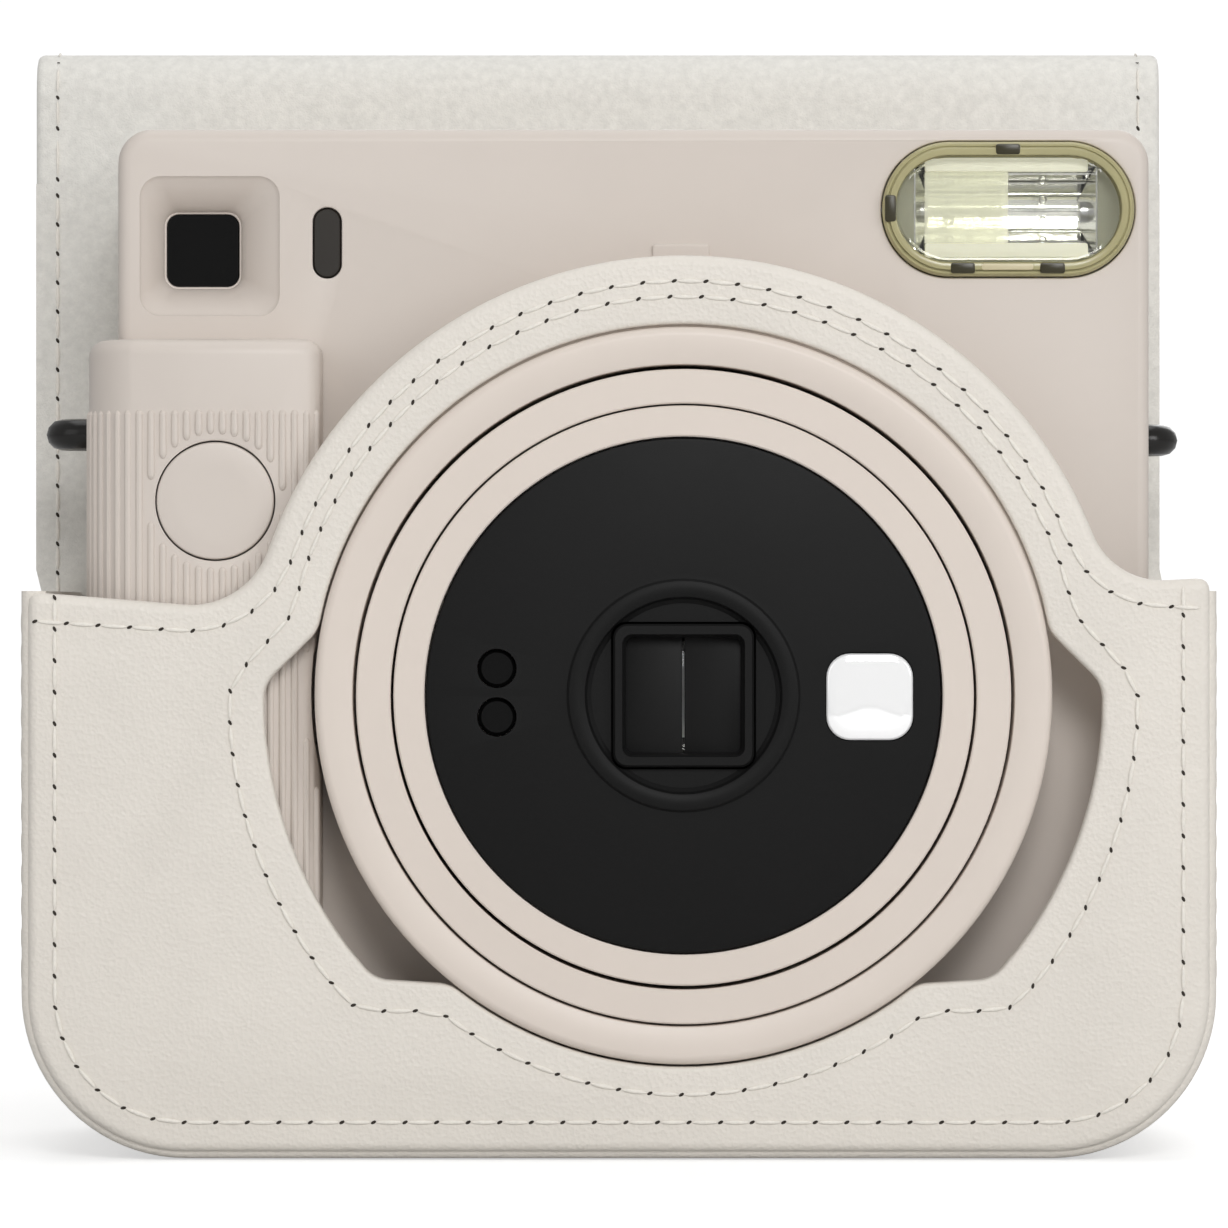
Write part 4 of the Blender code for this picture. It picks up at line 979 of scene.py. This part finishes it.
def caseFront():
    inset, front, thick, roll = panel["sideInset"], panel["front"], panel["thick"], panel["roll"]
    left, right, corner = caseLow[0] + inset, caseHigh[0] - inset, panel["corner"] - inset
    low = inset
    outline = ([(left, 68.9)] + topEdge(0) + [(right, 70.6)]
               + arc(right - corner, low + corner, corner, 0, -90, 20)
               + arc(left + corner, low + corner, corner, 270, 180, 20))
    outline = softened(outline, [1.6] + [0] * (len(topEdge(0))) + [1.6] + [0] * 42, 4)
    sheet = slab("caseFront", outline, front, front + thick)
    boolean(sheet, slab("cutOpening", openingLoop(0), front - 2, front + thick + 2))

    def onOpening(spot):
        across = hypot(spot.x - lensX, spot.z - lensZ)
        return across < panel["window"] + 0.1 and spot.z < lensZ + panel["opening"] + 0.1

    rolledEdge(sheet, front, panel["openingRoll"], only=onOpening)
    rolledEdge(sheet, front, roll, only=lambda spot: not onOpening(spot))
    smooth(sheet, 50)
    settle(sheet, "camera", leather, "case_front")
    toSpace = lambda u, v, h: (u, front - h, v)
    edge, low = panel["seam"]
    turn = panel["seamTurn"]
    lines = [([(caseLow[0] + 1.8, 65.3)] + topEdge(3.15) + [(caseHigh[0] - 1.8, 66.9)], False),
             (openingLoop(3.35, 5.0), True),
             ([(caseLow[0] + edge, 68.2)] + arc(caseLow[0] + edge + turn, low + turn, turn, 180, 270, 16)
              + arc(caseHigh[0] - edge - turn, low + turn, turn, 270, 360, 16) + [(caseHigh[0] - edge, 69.9)], False)]
    for index, (line, closed) in enumerate(lines):
        caseSeam(f"frontSeam{index}", line, toSpace, closed)


# case sides, base and back

band = {"wall": 3.0, "base": 6.0, "inner": 8.0, "front": -35.3, "back": 22.3, "roll": 1.1, "seam": 3.4}


def caseGusset():
    left, right, top, corner = caseLow[0], caseHigh[0], caseHigh[2], panel["corner"]
    wall, inner, base = band["wall"], band["inner"], band["base"]
    outside = (arc(left + corner, corner, corner, 180, 270, 20) + arc(right - corner, corner, corner, 270, 360, 20))
    inside = (arc(right - wall - inner, base + inner, inner, 360, 270, 10)
              + arc(left + wall + inner, base + inner, inner, 270, 180, 10))
    outline = [(left, top)] + outside + [(right, top), (right - wall, top)] + inside + [(left + wall, top)]
    sheet = slab("caseGusset", outline, band["front"], band["back"])

    def onRim(spot):
        middle = min(max(spot.x, left + corner), right - corner)
        return hypot(spot.x - middle, spot.z - max(spot.z, corner)) > corner - 0.5

    rolledEdge(sheet, band["front"], band["roll"], only=onRim)
    rolledEdge(sheet, band["back"], band["roll"], only=onRim)
    settle(smooth(sheet, 40), "camera", leather, "case_gusset")
    depth = (band["front"] + band["seam"], band["back"] - band["seam"])
    for index, (x, side) in enumerate(((left, -1), (right, 1))):
        for number, y in enumerate(depth):
            toSpace = lambda u, v, h, x=x, side=side, y=y: (x + side * h, y, v)
            caseSeam(f"sideSeam{index}{number}", [(0, top - 2), (0, corner + 1)], toSpace)


def twoSided(obj, front=feltTone, back=leather, normal=(0, -1, 0)):
    obj.data.materials.clear()
    obj.data.materials.append(back)
    obj.data.materials.append(front)
    for face in obj.data.polygons:
        face.material_index = 1 if face.normal.dot(Vector(normal)) > 0.6 else 0
    return obj


flap = {"left": -75.0, "right": 70.8, "thick": 2.6, "start": 122.0, "riser": 12.2, "roof": 51.0, "front": 27.0,
        "roofTurn": 120, "frontTurn": 25, "bend": 4.2, "edge": 2.8, "middle": 23.9, "hinge": 128.0}


rearPanel = {"front": 22.6, "rear": 25.2, "roll": 0.9, "window": (-61.5, 62.5, 10, 118.5),
             "seam": 3.4, "seamTurn": 16}


def caseBack():
    left, right, corner, top = caseLow[0], caseHigh[0], panel["corner"], flap["start"]
    front, rear = rearPanel["front"], rearPanel["rear"]
    outline = (arc(left + corner, corner, corner, 180, 270, 20) + arc(right - corner, corner, corner, 270, 360, 20)
               + [(right, 60), (flap["right"], 72), (flap["right"], top),
                  (flap["left"], top), (flap["left"], 72), (left, 60)])
    sheet = slab("caseBack", outline, front, rear)
    boolean(sheet, slab("cutWindow", roundedBox(*rearPanel["window"], 6), 20, 28))
    rolledEdge(sheet, rear, rearPanel["roll"])
    twoSided(sheet)
    smooth(sheet, 50)
    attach(sheet, "camera")
    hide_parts("case_back")
    toSpace = lambda u, v, h: (u, rear + h, v)
    seam, turn = rearPanel["seam"], rearPanel["seamTurn"]
    caseSeam("backSeamOuter", arc(left + seam + turn, seam + turn, turn, 180, 270, 14)
             + arc(right - seam - turn, seam + turn, turn, 270, 360, 14) + [(right - seam, 58)], toSpace)
    caseSeam("backSeamWindow", roundedBox(-64.3, 65.3, 7.2, 121.3, 8), toSpace, True)
    for side, inset in (("left", flap["edge"]), ("right", -flap["edge"])):
        caseSeam(side + "LiningSeam", [(flap[side] + inset, 120.5), (flap[side] + inset, 64)],
                 lambda u, v, h: (u, front - h, v))


def flapPath():
    # centre line of the flap at rest, as (y, z): up from the back panel, over, and down behind
    fold = Vector((flap["middle"], flap["hinge"] + flap["riser"]))
    roofWay = Vector((sin(radians(flap["roofTurn"])), cos(radians(flap["roofTurn"]))))
    end = fold + roofWay * flap["roof"]
    turn = radians(flap["roofTurn"] + flap["frontTurn"])
    frontWay = Vector((sin(turn), cos(turn)))
    corners = [(flap["middle"], flap["start"]), tuple(fold), tuple(end), tuple(end + frontWay * flap["front"])]
    path = walk(softened(corners, [0, flap["bend"], 22.0, 0], 14), 1.1)
    return path, fold, roofWay, end, frontWay


def strip(name, points, lastEnd):
    # felt-backed leather along part of the centre line, with round side edges and sewn sides
    half = flap["thick"] / 2
    spots = [Vector(p) for p in points]
    ways = [(spots[min(i + 1, len(spots) - 1)] - spots[max(i - 1, 0)]).normalized() for i in range(len(spots))]
    normals = [Vector((-way.y, way.x)) for way in ways]
    outer = [tuple(p - n * half) for p, n in zip(spots, normals)]
    inner = [tuple(p + n * half) for p, n in zip(spots, normals)]
    left, right = flap["left"], flap["right"]
    sheet = slab(name, outer + inner[::-1], left, right, "X")

    def near(vert, spot):
        return (Vector((vert.co.y, vert.co.z)) / mm - spot).length < half * 1.15

    edit(sheet, "EDGE")
    bpy.ops.mesh.select_all(action="DESELECT")
    bpy.ops.object.mode_set(mode="OBJECT")
    for edge in sheet.data.edges:
        a, b = (sheet.data.vertices[i] for i in edge.vertices)
        atStart, atEnd = near(a, spots[0]) and near(b, spots[0]), near(a, spots[-1]) and near(b, spots[-1])
        sideways = abs(a.co.x - b.co.x) < 1e-7
        edge.select = (sideways and not atStart and not atEnd) or (lastEnd and atEnd)
    bpy.ops.object.mode_set(mode="EDIT")
    bpy.ops.mesh.bevel(offset=1.0 * mm, segments=4, affect="EDGES")
    bpy.ops.object.mode_set(mode="OBJECT")
    sheet.data.materials.append(leather)
    sheet.data.materials.append(feltTone)
    for face in sheet.data.polygons:
        spot = Vector((face.center.y, face.center.z)) / mm
        index = min(range(len(spots)), key=lambda i: (spots[i] - spot).length)
        face.material_index = 1 if face.normal.dot(Vector((0, *normals[index]))) > 0.5 else 0
    smooth(sheet, 50)
    lengths = [0.0]
    for a, b in zip(spots, spots[1:]):
        lengths.append(lengths[-1] + (b - a).length)

    def along(x, distance, height):
        i = min(max(j for j in range(len(lengths)) if lengths[j] <= distance + 1e-6), len(spots) - 2)
        t = (distance - lengths[i]) / (lengths[i + 1] - lengths[i])
        p = spots[i].lerp(spots[i + 1], t) + normals[i].lerp(normals[i + 1], t) * (half + height)
        return (x, p.x, p.y)

    sides = [sewn("flapSeam", [(x, 0.6), (x, lengths[-1] - (4 if lastEnd else 0.6))], along, faint=True)
             for x in (left + flap["edge"], right - flap["edge"])]
    return joined(name, [sheet] + sides)


def caseFlap():
    path, fold, roofWay, end, frontWay = flapPath()
    splits = [Vector((flap["middle"], flap["hinge"] + 1.1)), fold + roofWay * 26]
    cuts = [min(range(len(path)), key=lambda i: (Vector(path[i]) - spot).length) for spot in splits]
    runs = [path[:cuts[0] + 1], path[cuts[0]:cuts[1] + 1], path[cuts[1]:]]
    hinge = Vector((flap["middle"], flap["hinge"]))
    spans = [(hinge - Vector((0, 1.9)), hinge + Vector((0, 1.0))),
             (fold - Vector((0, 5)), fold + roofWay * 5), (end - roofWay * 8, end + frontWay * 8)]
    names = (("flapRiser", "flap_riser", "camera", "riser"), ("flapRoof", "flap_roof", "riser", "roof"),
             ("flapFront", "flap_front", "roof", "front_flap"))
    for (name, node, before, after), run, (start, stop) in zip(names, runs, spans):
        piece = strip(name, run, run is runs[-1])
        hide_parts(node)
        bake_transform(piece)


caseFront()
caseGusset()
caseBack()
caseFlap()
print("case is sewn")

# nodes that keep their own shape

carried = {
    blackPlastic: ("lens_base", "dark_box", "shutter_plate", "viewfinder_tube", "film_cassette", "flash_capacitor"),
    clearGlass: ("front_lens", "rear_lens"),
    steelTone: ("shutter_blade", "door_hinge_pin", "pressure_spring", "eject_roller_front",
                "eject_roller_rear", "motor"),
    brassTone: ("roller_gear", "idler_gear", "motor_pinion", "contact_lower", "contact_upper"),
    boardTone: ("circuit_board",),
    filmTone: ("film_stack",),
    cellTone: ("battery_lower", "battery_upper"),
}
for finishTone, nodes in carried.items():
    for node in nodes:
        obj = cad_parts[node]
        obj.data.materials.clear()
        obj.data.materials.append(finishTone)


# floor

bpy.ops.mesh.primitive_plane_add(size=4, location=(0, 0, -0.0002))
floor = bpy.context.object
floor.name = "floor"
edit(floor)
bpy.ops.mesh.subdivide(number_cuts=3)
bpy.ops.object.mode_set(mode="OBJECT")
floorTone = finishBase("floorTone", (0.6, 0.6, 0.6), 0.75, Emission_Color=(1, 1, 1, 1))
# the white table glows for the eye alone, so it throws little light up at the case
tree = floorTone.node_tree
seen = addNode(tree, "LightPath").outputs["Is Camera Ray"]
spots = addNode(tree, "TexCoord").outputs["Object"]
reach = addNode(tree, "VectorMath", [(0, spots)], operation="LENGTH").outputs["Value"]
rise = addNode(tree, "MapRange", [("Value", reach)],
               **{"From Min": 0.3, "From Max": 0.8, "To Min": 0.55, "To Max": 1.0})
glow = addNode(tree, "Math", [(0, seen), (1, rise.outputs["Result"])], operation="MULTIPLY")
floorShader = floorTone.node_tree.nodes["Principled BSDF"]
floorTone.node_tree.links.new(glow.outputs[0], floorShader.inputs["Emission Strength"])
floor.data.materials.append(floorTone)

print("done")
